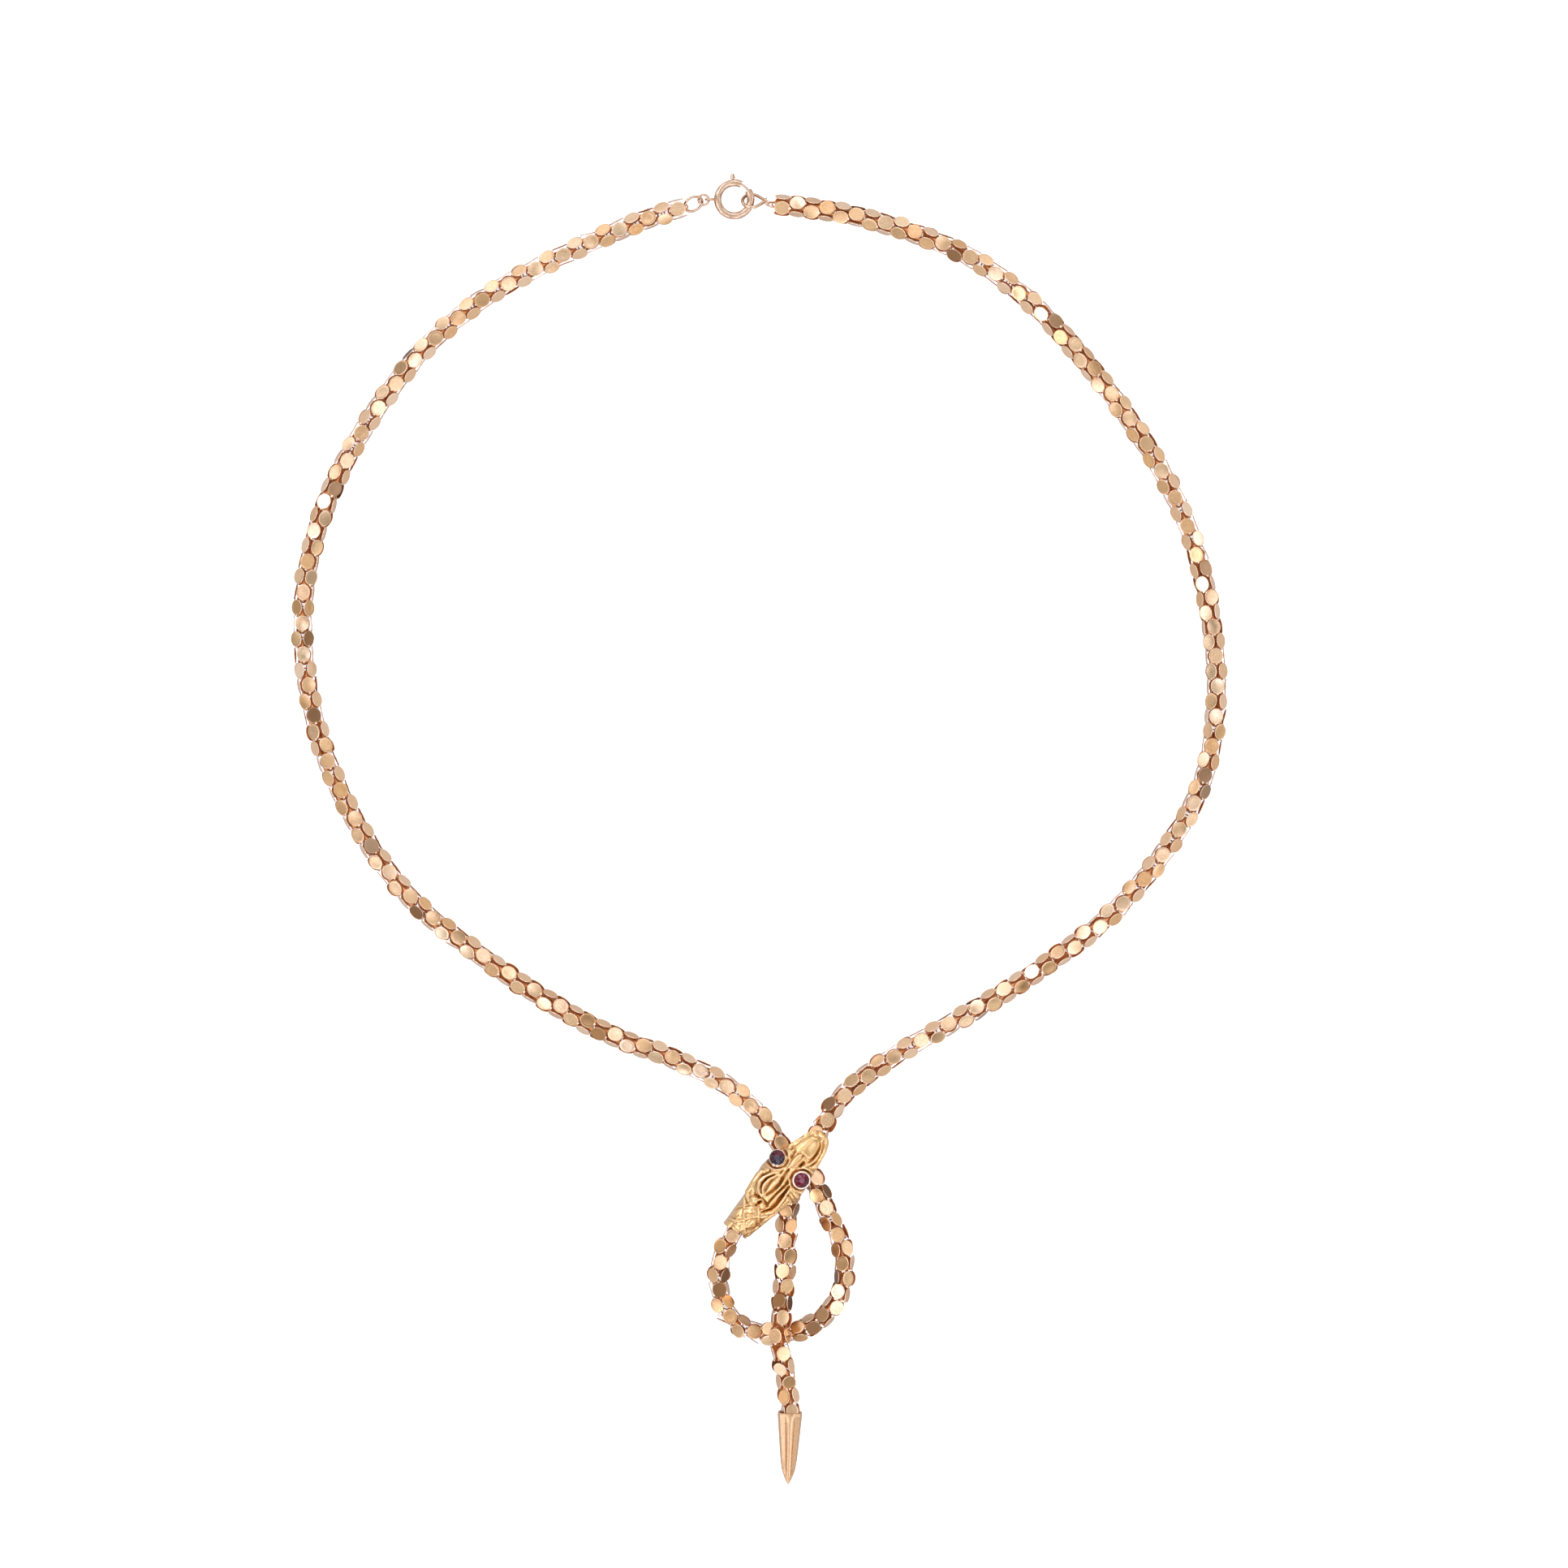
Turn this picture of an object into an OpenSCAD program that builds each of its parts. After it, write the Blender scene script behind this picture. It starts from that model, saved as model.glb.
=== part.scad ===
// Snake choker laid flat: a chain of four-disc links round the neck, a cast head that rests where
// the two strands cross, a tapered tail, and a bolt ring clasp at the back.
// Millimetres, +Z up, the chain lies on z = 0, the clasp is towards +Y.

/* [Chain] */
// From the chain's axis to the outer face of a disc
disc_reach = 1.3; // [1.28:0.01:1.34]
// Diameter of a disc
disc_d = 2.1; // [1.8:0.05:2.15]
// Diameter of a disc in the tight loop, where the links nest in each other
loop_disc_d = 1.86; // [1.7:0.02:1.9]
// Thickness of a disc
disc_t = 0.28; // [0.22:0.02:0.32]
// Length of the eight-sided core that carries the four discs
core_l = 0.6; // [0.5:0.02:0.62]
// Thickness of the eyed plate inside a link
plate_t = 0.32; // [0.26:0.02:0.34]
// Full width of the eyed plate
plate_w = 1.6; // [1.5:0.05:1.7]
// Metal round the eyes of the plate
eye_rim = 0.3; // [0.26:0.02:0.32]
// Length from eye end to eye end, inside
eye_span = 2.7; // [2.66:0.01:2.74]
// Links in the head strand, the one soldered in the neck included
head_links = 114; // [113:1:114]
// Links in the tail strand, the one soldered in the tail included
tail_links = 106; // [105:1:106]

/* [Head] */
// Length from the neck's mouth to the snout's tip
head_l = 21.7; // [21:0.1:22]
// Thickness of the cast wall
head_wall = 0.45; // [0.4:0.01:0.5]
// Angle of the head's axis from +X
head_turn = 47.2; // [46:0.1:48]
// Height of the raised relief
relief_h = 0.28; // [0.1:0.02:0.4]

/* [Eyes] */
// Diameter of a garnet
stone_d = 2.1; // [2:0.02:2.14]
// Outer diameter of a collet
collet_d = 2.75; // [2.7:0.05:2.9]
// Height of a collet
collet_h = 1.5; // [1.3:0.1:1.7]
// Outward lean of the eyes
eye_lean = 12; // [5:1:18]

/* [Tail] */
// Length of the tail cap
tail_l = 10.8; // [10:0.1:11.5]
// Width of the tail cap at its mouth
tail_w = 3.66; // [3.5:0.02:3.8]
// Height of the tail cap at its mouth
tail_h = 3.3; // [3.1:0.1:3.4]

/* [Clasp] */
// Outer diameter of the bolt ring
ring_d = 6; // [5.9:0.05:6.1]
// Diameter of the bolt ring's tube
ring_tube_d = 1.1; // [1.06:0.02:1.12]
// Diameter of the sliding bolt
bolt_d = 0.4; // [0.36:0.02:0.42]
// Radial clearance round the bolt
bolt_gap = 0.08; // [0.06:0.01:0.1]
// Angle at which the bolt ring's solid end stops
ring_gap_from = 33; // [31:1:34]
// Angle at which the bolt ring's hollow end starts
ring_gap_to = 65; // [64:1:67]
// Angle of the thumb knob when the clasp is shut
knob_at = 94; // [92:1:96]
// Wire of the catch loop
catch_wire_d = 0.5; // [0.44:0.02:0.52]
// Tilt of the catch loop, one side over the ring and one side under
catch_tilt = 43; // [42:1:44]

/* [Hidden] */
$fn = 64;

// Route of the head strand from the neck to the clasp.
// Columns: x, y, height of the axis, turn of the links about the axis in degrees
HEAD_ROUTE = [
  [-3.4, -59.0, 3.5, 0], [-4.9, -61.8, 2.9, 0], [-5.8, -64.4, 2.3, 0], [-5.95, -67.4, 1.8, 0],
  [-5.5, -70.0, 1.7, 0], [-4.2, -72.2, 1.7, 0], [-2.1, -73.8, 1.7, 0], [0.7, -74.6, 1.7, 4],
  [3.8, -74.6, 1.7, 12], [6.7, -73.9, 1.7, 18], [9.3, -72.3, 1.7, 24], [11.3, -69.8, 1.7, 28],
  [12.4, -66.9, 1.7, 30], [12.5, -63.9, 1.7, 34], [11.8, -60.4, 1.7, 42], [10.3, -57.4, 1.7, 49],
  [9.0, -54.0, 1.7, 62], [7.7, -51.4, 1.7, 75], [6.1, -49.5, 1.7, 88], [4.3, -48.0, 1.7, 97],
  [2.6, -46.1, 1.7, 108], [0.6, -43.2, 1.7, 122], [-1.5, -40.7, 1.7, 131], [-4.6, -38.1, 1.7, 135],
  [-11.6, -34.5, 1.7, 130], [-22.4, -30.3, 1.7, 125], [-32.4, -24.8, 1.7, 125], [-41.7, -18.4, 1.7, 130],
  [-50.7, -11.2, 1.7, 135], [-57.8, -2.1, 1.7, 135], [-63.2, 8.3, 1.7, 130], [-66.5, 19.6, 1.7, 135],
  [-67.5, 31.3, 1.7, 140], [-65.8, 42.9, 1.7, 135], [-61.5, 53.7, 1.7, 130], [-55.6, 63.4, 1.7, 135],
  [-48.5, 72.0, 1.7, 140], [-40.0, 78.9, 1.7, 135], [-30.4, 84.1, 1.7, 135], [-20.8, 88.5, 1.7, 130],
  [-12.1, 91.6, 1.7, 135], [-10.2, 92.1, 1.7, 135]];

// Route of the tail strand from the tail cap to the clasp, with the same columns
TAIL_ROUTE = [
  [4.6, -87.4, 1.75, 13], [4.6, -86.0, 1.75, 14], [4.4, -84.0, 1.8, 12], [4.1, -81.9, 2.3, 15],
  [3.7, -79.4, 3.4, 11], [3.2, -77.0, 4.5, 13], [3.0, -74.6, 4.95, 14], [3.2, -72.0, 4.5, 15],
  [3.4, -69.3, 3.4, 25], [3.65, -66.2, 2.4, 29], [3.95, -63.4, 2, 29], [4.15, -60.4, 2.1, 29],
  [4.1, -57.4, 2.7, 28], [4.5, -55.0, 3.5, 22], [5.3, -52.6, 4.3, 8], [6.4, -50.2, 4.6, 0],
  [7.6, -47.7, 4.25, -13], [8.7, -45.4, 3.6, -28], [9.9, -42.9, 2.8, -40], [11.3, -40.7, 2.2, -45],
  [13.6, -38.3, 1.8, -45], [17.6, -35.2, 1.7, -45], [23.0, -31.8, 1.7, -45], [33.1, -26.1, 1.7, -50],
  [42.9, -19.8, 1.7, -45], [52.2, -12.5, 1.7, -40], [60.0, -3.3, 1.7, -45], [65.7, 7.4, 1.7, -50],
  [67.6, 19.4, 1.7, -45], [66.7, 31.3, 1.7, -45], [64.1, 42.6, 1.7, -40], [59.4, 53.0, 1.7, -45],
  [53.5, 62.2, 1.7, -50], [46.9, 70.7, 1.7, -45], [39.5, 78.4, 1.7, -45], [30.8, 84.7, 1.7, -40],
  [20.9, 88.7, 1.7, -45], [10.6, 91.3, 1.7, -50], [3.3, 92.2, 1.7, -45], [1.9, 92.3, 1.7, -45]];

// Where chosen links sit along their route. Columns: link, distance from the route's start
HEAD_STATIONS = [[0, 1.05], [22, 49.0], [29, 65.75], [51, 115.9], [67, 151.3], [83, 188.1],
                 [99, 226.4], [113, 258.4]];
TAIL_STATIONS = [[0, 1.35], [19, 47.1], [29, 70.8], [61, 142.6], [67, 155.6], [93, 214.4],
                 [105, 243.2]];

// The head along its axis. Columns: distance from the neck, half width, crown height, edge height
HEAD_ROWS = [
  [2.0, 1.95, 5.15, 2.1], [3.2, 2.08, 5.35, 2.2], [4.9, 2.3, 5.65, 2.5], [7.4, 2.6, 6.25, 2.9],
  [10.1, 3.25, 6.95, 3.4], [11.9, 3.6, 7.4, 3.5], [13.6, 3.5, 7.65, 3.55], [15.4, 3.05, 7.65, 3.9],
  [17.0, 2.6, 7.55, 4.7], [18.4, 2.25, 7.4, 5.3], [19.6, 1.95, 7.2, 5.6], [20.6, 1.5, 6.95, 5.7],
  [21.3, 1.0, 6.65, 5.75], [21.7, 0.55, 6.4, 5.8]];
// Height of the edge on the right, lifted over the tail strand. Columns: distance, height
RIGHT_EDGE = [[2, 2.1], [5.6, 2.6], [7.2, 4.6], [8.4, 5.8], [12.6, 5.9], [19.6, 5.9], [21.7, 5.8]];
// Raised plates and bosses. Columns: distance, side (left is +), half length, half width, share of relief
HEAD_PLATES = [
  [18.6, 0.45, 2.0, 1.2, 1.1], [15.7, 0.6, 1.7, 0.5, 1.0], [11.1, 0.5, 1.8, 0.45, 1.0],
  [14.4, -0.2, 2.6, 0.4, 0.8], [9.9, 2.2, 1.9, 0.4, 0.9], [8.9, 1.2, 1.2, 0.4, 0.7],
  [9.8, -1.3, 2.6, 0.4, 0.8], [9.6, -2.2, 2.1, 0.35, 0.9], [19.1, -1.9, 1.9, 0.35, 0.9],
  [7.5, 0.95, 0.68, 0.68, 1.3], [7.65, -0.47, 0.6, 0.6, 1.3], [12.1, -2.8, 0.6, 1.0, 0.9],
  [5.6, 0.2, 0.9, 0.6, 0.7], [4.4, 1.3, 0.8, 0.5, 0.7], [4.4, -1.4, 0.8, 0.5, 0.7], [3.0, 0, 0.7, 0.6, 0.7]];
SECTION_POWER = 2.4;
SECTION_STEPS = 22;
HEAD_STEPS = 40;

// Where the eyes sit. Columns: distance, side (left is +), height of the collet's rim
LEFT_EYE = [14.4, 2.76, 7.4];
RIGHT_EYE = [14.4, -2.15, 7.8];

// The tail cap along its axis. Columns: share of the length, share of the width, depth of the flute
TAIL_ROWS = [[0, 1, 0.04], [0.12, 0.975, 0.1], [0.3, 0.9, 0.22], [0.5, 0.76, 0.26], [0.68, 0.6, 0.24],
             [0.82, 0.42, 0.18], [0.92, 0.26, 0.1], [0.98, 0.12, 0.04], [1, 0.05, 0]];
// Half of the cap's section. Columns: share of half width, share of half height, share of the flute
TAIL_SECTION = [[1, 0, 0], [0.86, 0.55, 0], [0.5, 0.94, 0], [0.16, 1, 0.8], [0, 1, 1],
                [-0.16, 1, 0.8], [-0.5, 0.94, 0], [-0.86, 0.55, 0]];
TAIL_MOUTH = [4.55, -86.3, 1.75];
TAIL_TIP = [4.26, -96.96, 0.75];

NECK_END = [-5.1, -60.84];
// The bar that ties the soldered end link to both walls of the neck
SOLDER_AT = [2.35, 0, 3.45];
SOLDER_BAR = [0.5, 3.6, 0.5];
CLASP_CENTRE = [-3.7, 93.07, 1.3];
GOLD = "#d8ac74";
YELLOW_GOLD = "#dcb15c";
ROSE_GOLD = "#dba983";
GARNET = "#4a1024";

disc_floor = disc_reach - disc_t;
core_sides = 8;
hub_half = 0.36;
overlap = 0.04;
head_loop_links = 22;
tail_loop_links = 19;
stone_gap = 0.04;
stone_sink = 0.1;
seat_h = 0.95;
ring_r = (ring_d - ring_tube_d) / 2;
bore_d = bolt_d + 2 * bolt_gap;
run_out = 3;
slot_margin = 7;
eyelet_at = 3.6;
eyelet_d = 1.56;
eyelet_wire_d = 0.34;
knob_d = 0.8;
knob_tip_d = 0.5;
knob_h = 0.72;
stem_d = 0.34;
stem_gap = 0.09;
bolt_overlap = 3;
bolt_end_gap = 0.5;
bolt_tail = 12;
trigger_travel = 34;
cut_over = 1;
catch_r = 1.38;
catch_point = 2.1;
catch_eye_d = 1.5;
catch_eye_wire_d = 0.3;
CATCH_AT = [-1.1, 92.85, 1.3];
CATCH_EYE_AT = [3.0, -0.55, 0.3];
CATCH_EYE_TURN = [130, 0, 0];
// The collar's two steps from the drop to its eye. Columns: x, y, z, diameter, length
COLLAR_STEPS = [[2.0, -0.1, 0, 1.2, 0.3], [2.2, -0.35, 0.2, 0.9, 0.32]];
long_ring_d = 3.2;
jump_wire_d = 0.42;
LONG_RING_AT = [-9.74, 92.38, 1.45];
LONG_RING_TURN = [49, 0, 28];
small_ring_d = 1.9;
small_wire_d = 0.38;
SMALL_RING_AT = [-8.22, 93.0, 1.3];
SMALL_RING_TURN = [-6, 0, 0];
// The hollow in the tail cap's mouth: length to both sides of the mouth, width, height
TAIL_POCKET = [2.2, 3.0, 2.6];
least_height = 0.05;

// Chain routes: a smooth curve through the hand-set points, walked by length
function spot(row) = [row[0], row[1], row[2]];
function chord(route, i) = norm(spot(route[i + 1]) - spot(route[i]));
function slope_inside(route, i) =
  let (before = chord(route, i - 1), after = chord(route, i))
  ((route[i + 1] - route[i]) * before / after + (route[i] - route[i - 1]) * after / before)
    / (before + after);
function slope(route, i) =
  i == 0 ? (route[1] - route[0]) / chord(route, 0)
  : i == len(route) - 1 ? (route[i] - route[i - 1]) / chord(route, i - 1)
  : slope_inside(route, i);
function curve_point(route, i, u) =
  route[i] * (2 * u ^ 3 - 3 * u ^ 2 + 1)
  + slope(route, i) * chord(route, i) * (u ^ 3 - 2 * u ^ 2 + u)
  + route[i + 1] * (3 * u ^ 2 - 2 * u ^ 3)
  + slope(route, i + 1) * chord(route, i) * (u ^ 3 - u ^ 2);
STEPS_PER_CHORD = 6;
function smooth(route) = concat(
  [for (i = [0 : len(route) - 2]) for (k = [0 : STEPS_PER_CHORD - 1])
    curve_point(route, i, k / STEPS_PER_CHORD)],
  [route[len(route) - 1]]);
function distances(path) =
  [for (i = 0, total = 0; i < len(path);
        total = total + (i < len(path) - 1 ? chord(path, i) : 0), i = i + 1) total];
// One table per column of the route, keyed by the distance walked
function track(route) =
  let (path = smooth(route), walked = distances(path))
  [for (column = [0 : 3]) [for (i = [0 : len(path) - 1]) [walked[i], path[i][column]]]];
function at(track, distance) = [for (column = [0 : 2]) lookup(distance, track[column])];
function unit(v) = v / norm(v);

head_track = track(HEAD_ROUTE);
tail_track = track(TAIL_ROUTE);

// Children stand at a link's centre, with +X along the chain to the clasp and +Z up
module on_track(track, distance) {
  reach = eye_span / 2;
  along = unit(at(track, distance + reach) - at(track, distance - reach));
  left = unit(cross([0, 0, 1], along));
  up = cross(along, left);
  place = at(track, distance);
  multmatrix([for (k = [0 : 2]) [along[k], left[k], up[k], place[k]]])
    rotate([lookup(distance, track[3]), 0, 0])
      children();
}

// One eye is open to each neighbour, and the solid web between them sits in the core
module eyed_plate() {
  outer_l = eye_span + 2 * eye_rim;
  eye_l = eye_span / 2 - hub_half;
  eye_w = plate_w - 2 * eye_rim;
  linear_extrude(plate_t, center = true)
    difference() {
      union() {
        square([outer_l - plate_w, plate_w], center = true);
        for (end = [-1, 1])
          translate([end * (outer_l - plate_w) / 2, 0]) circle(d = plate_w);
      }
      for (end = [-1, 1]) {
        translate([end * (hub_half + (eye_l - eye_w / 2) / 2), 0])
          square([eye_l - eye_w / 2, eye_w], center = true);
        translate([end * (eye_span - eye_w) / 2, 0]) circle(d = eye_w);
      }
    }
}

// An eight-sided core whose flats carry the discs and leave a slit between them at each corner
module disc_box(d) {
  half_side = 180 / core_sides;
  core_d = 2 * (disc_floor + overlap) / cos(half_side);
  rotate([0, 90, 0]) rotate([0, 0, half_side])
    cylinder(h = core_l, d = core_d, center = true, $fn = core_sides);
  for (side = [0 : 90 : 270])
    rotate([side, 0, 0])
      translate([0, 0, disc_floor]) cylinder(h = disc_t, d = d);
}

// Neighbouring links are turned by an eighth and their plates by a quarter, so the eyes interlock
module chain_link(number, d) {
  rotate([45 * number, 0, 0]) disc_box(d);
  rotate([90 * (number + 1), 0, 0]) eyed_plate();
}

module strand(track, stations, loop_links, first, last) {
  for (number = [first : last])
    on_track(track, lookup(number, stations))
      chain_link(number, number > loop_links ? disc_d : loop_disc_d);
}

module head_strand() {
  color(GOLD) strand(head_track, HEAD_STATIONS, head_loop_links, 1, head_links - 1);
}

module tail_strand() {
  color(GOLD) strand(tail_track, TAIL_STATIONS, tail_loop_links, 1, tail_links - 1);
}

// The head's skin
function head_column(column) = [for (row = HEAD_ROWS) [row[0], row[column]]];
HEAD_WIDTHS = head_column(1);
HEAD_CROWNS = head_column(2);
HEAD_EDGES = head_column(3);
function lump(s, side, plate) =
  let (d = ((s - plate[0]) / plate[2]) ^ 2 + ((side - plate[1]) / plate[3]) ^ 2)
  d < 1 ? relief_h * plate[4] * (1 - d) ^ 0.5 : 0;
function relief(s, side) = max([for (plate = HEAD_PLATES) lump(s, side, plate)]);
function power(v) = sign(v) * abs(v) ^ (2 / SECTION_POWER);
function skin_point(s, angle, inset) =
  let (half = lookup(s, HEAD_WIDTHS) - inset,
       side = half * power(cos(angle)),
       edge = lookup(s, angle > 90 ? RIGHT_EDGE : HEAD_EDGES),
       crown = max(lookup(s, HEAD_CROWNS) - inset, edge + inset / 2),
       raised = inset > 0 ? 0 : relief(s, side) * sin(angle))
  [s, side, edge + (crown - edge) * power(sin(angle)) + raised];
// Two triangles between neighbours a, b of one ring and c, d of the next
function quad(a, b, c, d) = [[a, c, b], [b, c, d]];
function skin_faces(rings, points) =
  let (inner = rings * points, last = (rings - 1) * points)
  concat(
    [for (r = [0 : rings - 2]) for (p = [0 : points - 2])
      let (a = r * points + p) each quad(a, a + 1, a + points, a + points + 1)],
    [for (r = [0 : rings - 2]) for (p = [0 : points - 2])
      let (a = inner + r * points + p) each quad(a + 1, a, a + points + 1, a + points)],
    [for (p = [0 : points - 2]) each quad(p + 1, p, inner + p + 1, inner + p)],
    [for (r = [0 : rings - 2])
      let (a = r * points) each quad(a, a + points, inner + a, inner + a + points)],
    [for (r = [0 : rings - 2])
      let (a = (r + 1) * points - 1) each quad(a + points, a, inner + a + points, inner + a)],
    [[for (p = [points - 1 : -1 : 0]) last + p], [for (p = [0 : points - 1]) inner + last + p]],
    quad(last, last + points - 1, inner + last, inner + last + points - 1));

module head_shell() {
  first = HEAD_ROWS[0][0];
  function ring(r, inset) =
    let (s = first + r * (head_l - inset - first) / HEAD_STEPS)
    [for (k = [0 : SECTION_STEPS]) skin_point(s, 180 * k / SECTION_STEPS, inset)];
  outer = [for (r = [0 : HEAD_STEPS]) each ring(r, 0)];
  inner = [for (r = [0 : HEAD_STEPS]) each ring(r, head_wall)];
  polyhedron(concat(outer, inner), skin_faces(HEAD_STEPS + 1, SECTION_STEPS + 1), convexity = 6);
}

module on_head() {
  translate(NECK_END) rotate([0, 0, head_turn]) children();
}

module at_eye(eye) {
  translate(eye) rotate([-sign(eye[1]) * eye_lean, 0, 0]) children();
}

module collet(eye) {
  at_eye(eye) translate([0, 0, -collet_h]) cylinder(h = collet_h, d = collet_d);
}

module stone_pocket(eye) {
  at_eye(eye) translate([0, 0, -seat_h]) cylinder(h = 2 * seat_h, d = stone_d + 2 * stone_gap);
}

module snake_head() {
  color(YELLOW_GOLD) {
    on_head() {
      difference() {
        union() {
          head_shell();
          collet(LEFT_EYE);
          collet(RIGHT_EYE);
        }
        stone_pocket(LEFT_EYE);
        stone_pocket(RIGHT_EYE);
      }
      translate(SOLDER_AT) cube(SOLDER_BAR, center = true);
    }
    strand(head_track, HEAD_STATIONS, head_loop_links, 0, 0);
  }
}

// A round brilliant: table, crown, girdle and pavilion
module cut_stone() {
  sides = 12;
  // Columns: share of the radius, height above the girdle
  levels = [[0.54, 0.36], [0.84, 0.2], [1, 0.04], [1, -0.04], [0.5, -0.5], [0.06, -0.82]];
  turn = 180 / sides;
  points = [for (i = [0 : len(levels) - 1]) for (k = [0 : sides - 1])
    let (r = stone_d / 2 * levels[i][0], a = 360 * k / sides + (i == 1 ? turn : 0))
    [r * cos(a), r * sin(a), levels[i][1]]];
  walls = [for (i = [0 : len(levels) - 2]) for (k = [0 : sides - 1]) for (corner = [0, 1])
    let (a = i * sides + k, b = i * sides + (k + 1) % sides, c = a + sides, d = b + sides)
    i == 1 ? (corner == 0 ? [a, b, d] : [a, d, c]) : (corner == 0 ? [a, b, c] : [b, d, c])];
  table = [for (k = [0 : sides - 1]) sides - 1 - k];
  culet = [for (k = [0 : sides - 1]) (len(levels) - 1) * sides + k];
  polyhedron(points, concat([table], walls, [culet]));
}

module eye_stone(eye) {
  color(GARNET) on_head() at_eye(eye) translate([0, 0, -stone_sink]) cut_stone();
}

module left_eye_stone() {
  eye_stone(LEFT_EYE);
}

module right_eye_stone() {
  eye_stone(RIGHT_EYE);
}

// Children stand in the mouth of the tail cap, with +X towards its tip
module on_tail() {
  along = unit(TAIL_TIP - TAIL_MOUTH);
  left = unit(cross([0, 0, 1], along));
  up = cross(along, left);
  multmatrix([for (k = [0 : 2]) [along[k], left[k], up[k], TAIL_MOUTH[k]]]) children();
}

module tail_body() {
  around = 2 * len(TAIL_SECTION);
  function half_height(row) = tail_h / 2 * (least_height + (1 - least_height) * row[1]);
  function section(row) =
    [for (side = [1, -1]) for (p = TAIL_SECTION)
      [row[0] * tail_l, side * p[0] * row[1] * tail_w / 2,
       side * (p[1] * half_height(row) - p[2] * row[2])]];
  points = [for (row = TAIL_ROWS) each section(row)];
  rings = len(TAIL_ROWS);
  walls = [for (r = [0 : rings - 2]) for (p = [0 : around - 1])
    let (a = r * around, next = (p + 1) % around)
    each quad(a + p, a + next, a + around + p, a + around + next)];
  front = [for (p = [0 : around - 1]) p];
  back = [for (p = [around - 1 : -1 : 0]) (rings - 1) * around + p];
  polyhedron(points, concat([front], walls, [back]), convexity = 4);
}

module tail_cap() {
  color(ROSE_GOLD) {
    on_tail()
      difference() {
        tail_body();
        cube(TAIL_POCKET, center = true);
      }
    strand(tail_track, TAIL_STATIONS, tail_loop_links, 0, 0);
  }
}

// Clasp
module arc_tube(r, d, from, to) {
  rotate([0, 0, from]) rotate_extrude(angle = to - from) translate([r, 0]) circle(d = d);
}

module bolt_ring() {
  hollow_to = knob_at + bolt_tail + trigger_travel + run_out;
  slot_w = stem_d + 2 * stem_gap;
  color(ROSE_GOLD)
    translate(CLASP_CENTRE) {
      difference() {
        arc_tube(ring_r, ring_tube_d, ring_gap_to, 360 + ring_gap_from);
        arc_tube(ring_r, bore_d, ring_gap_to - cut_over, hollow_to);
        arc_tube(ring_r, bore_d, ring_gap_from - bolt_overlap - cut_over, ring_gap_from + cut_over);
        rotate([0, 0, knob_at - slot_margin])
          rotate_extrude(angle = trigger_travel + 2 * slot_margin)
            translate([ring_r, -slot_w / 2]) square([ring_tube_d, slot_w]);
      }
      translate([-eyelet_at, 0, 0]) rotate([90, 0, 0]) wire_ring(eyelet_d, eyelet_wire_d);
    }
}

module bolt_trigger() {
  knob_base = ring_d / 2 + bolt_gap;
  color(ROSE_GOLD)
    translate(CLASP_CENTRE) {
      arc_tube(ring_r, bolt_d, ring_gap_from - bolt_overlap + bolt_end_gap, knob_at + bolt_tail);
      rotate([0, 0, knob_at]) rotate([0, 90, 0]) {
        translate([0, 0, ring_r]) cylinder(h = knob_base + overlap - ring_r, d = stem_d);
        translate([0, 0, knob_base]) cylinder(h = knob_h, d1 = knob_d, d2 = knob_tip_d);
      }
    }
}

module wire_ring(d, wire) {
  rotate_extrude() translate([(d - wire) / 2, 0]) circle(d = wire);
}

module long_jump_ring() {
  color(ROSE_GOLD)
    translate(LONG_RING_AT) rotate(LONG_RING_TURN) wire_ring(long_ring_d, jump_wire_d);
}

module small_jump_ring() {
  color(ROSE_GOLD)
    translate(SMALL_RING_AT) rotate(SMALL_RING_TURN) wire_ring(small_ring_d, small_wire_d);
}

// A drop of wire hooked round the bolt ring, with a turned collar and an eye for the last link
module catch_loop() {
  tangent = acos(catch_r / catch_point);
  side_l = sqrt(catch_point ^ 2 - catch_r ^ 2);
  color(ROSE_GOLD)
    translate(CATCH_AT) {
      rotate([-catch_tilt, 0, 0]) {
        arc_tube(catch_r, catch_wire_d, tangent, 360 - tangent);
        for (side = [-1, 1])
          rotate([0, 0, side * tangent])
            translate([catch_r, 0, 0]) {
              rotate([side * 90, 0, 0]) cylinder(h = side_l, d = catch_wire_d);
              sphere(d = catch_wire_d);
            }
        translate([catch_point, 0, 0]) sphere(d = catch_wire_d);
      }
      for (step = COLLAR_STEPS)
        translate([step[0], step[1], step[2]]) rotate([0, 90, 0]) cylinder(h = step[4], d = step[3]);
      translate(CATCH_EYE_AT) rotate(CATCH_EYE_TURN) wire_ring(catch_eye_d, catch_eye_wire_d);
    }
}

head_strand();
tail_strand();
snake_head();
left_eye_stone();
right_eye_stone();
tail_cap();
bolt_ring();
bolt_trigger();
long_jump_ring();
small_jump_ring();
catch_loop();
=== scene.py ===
"""A snake choker laid flat: a chain of four-disc links, a chased head with two garnets, a fluted
tail and a bolt ring clasp. Sizes are in millimetres until a mesh is made."""

import logging
import math
import random
from dataclasses import dataclass, field
from enum import Enum
from typing import Callable, Sequence

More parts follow.
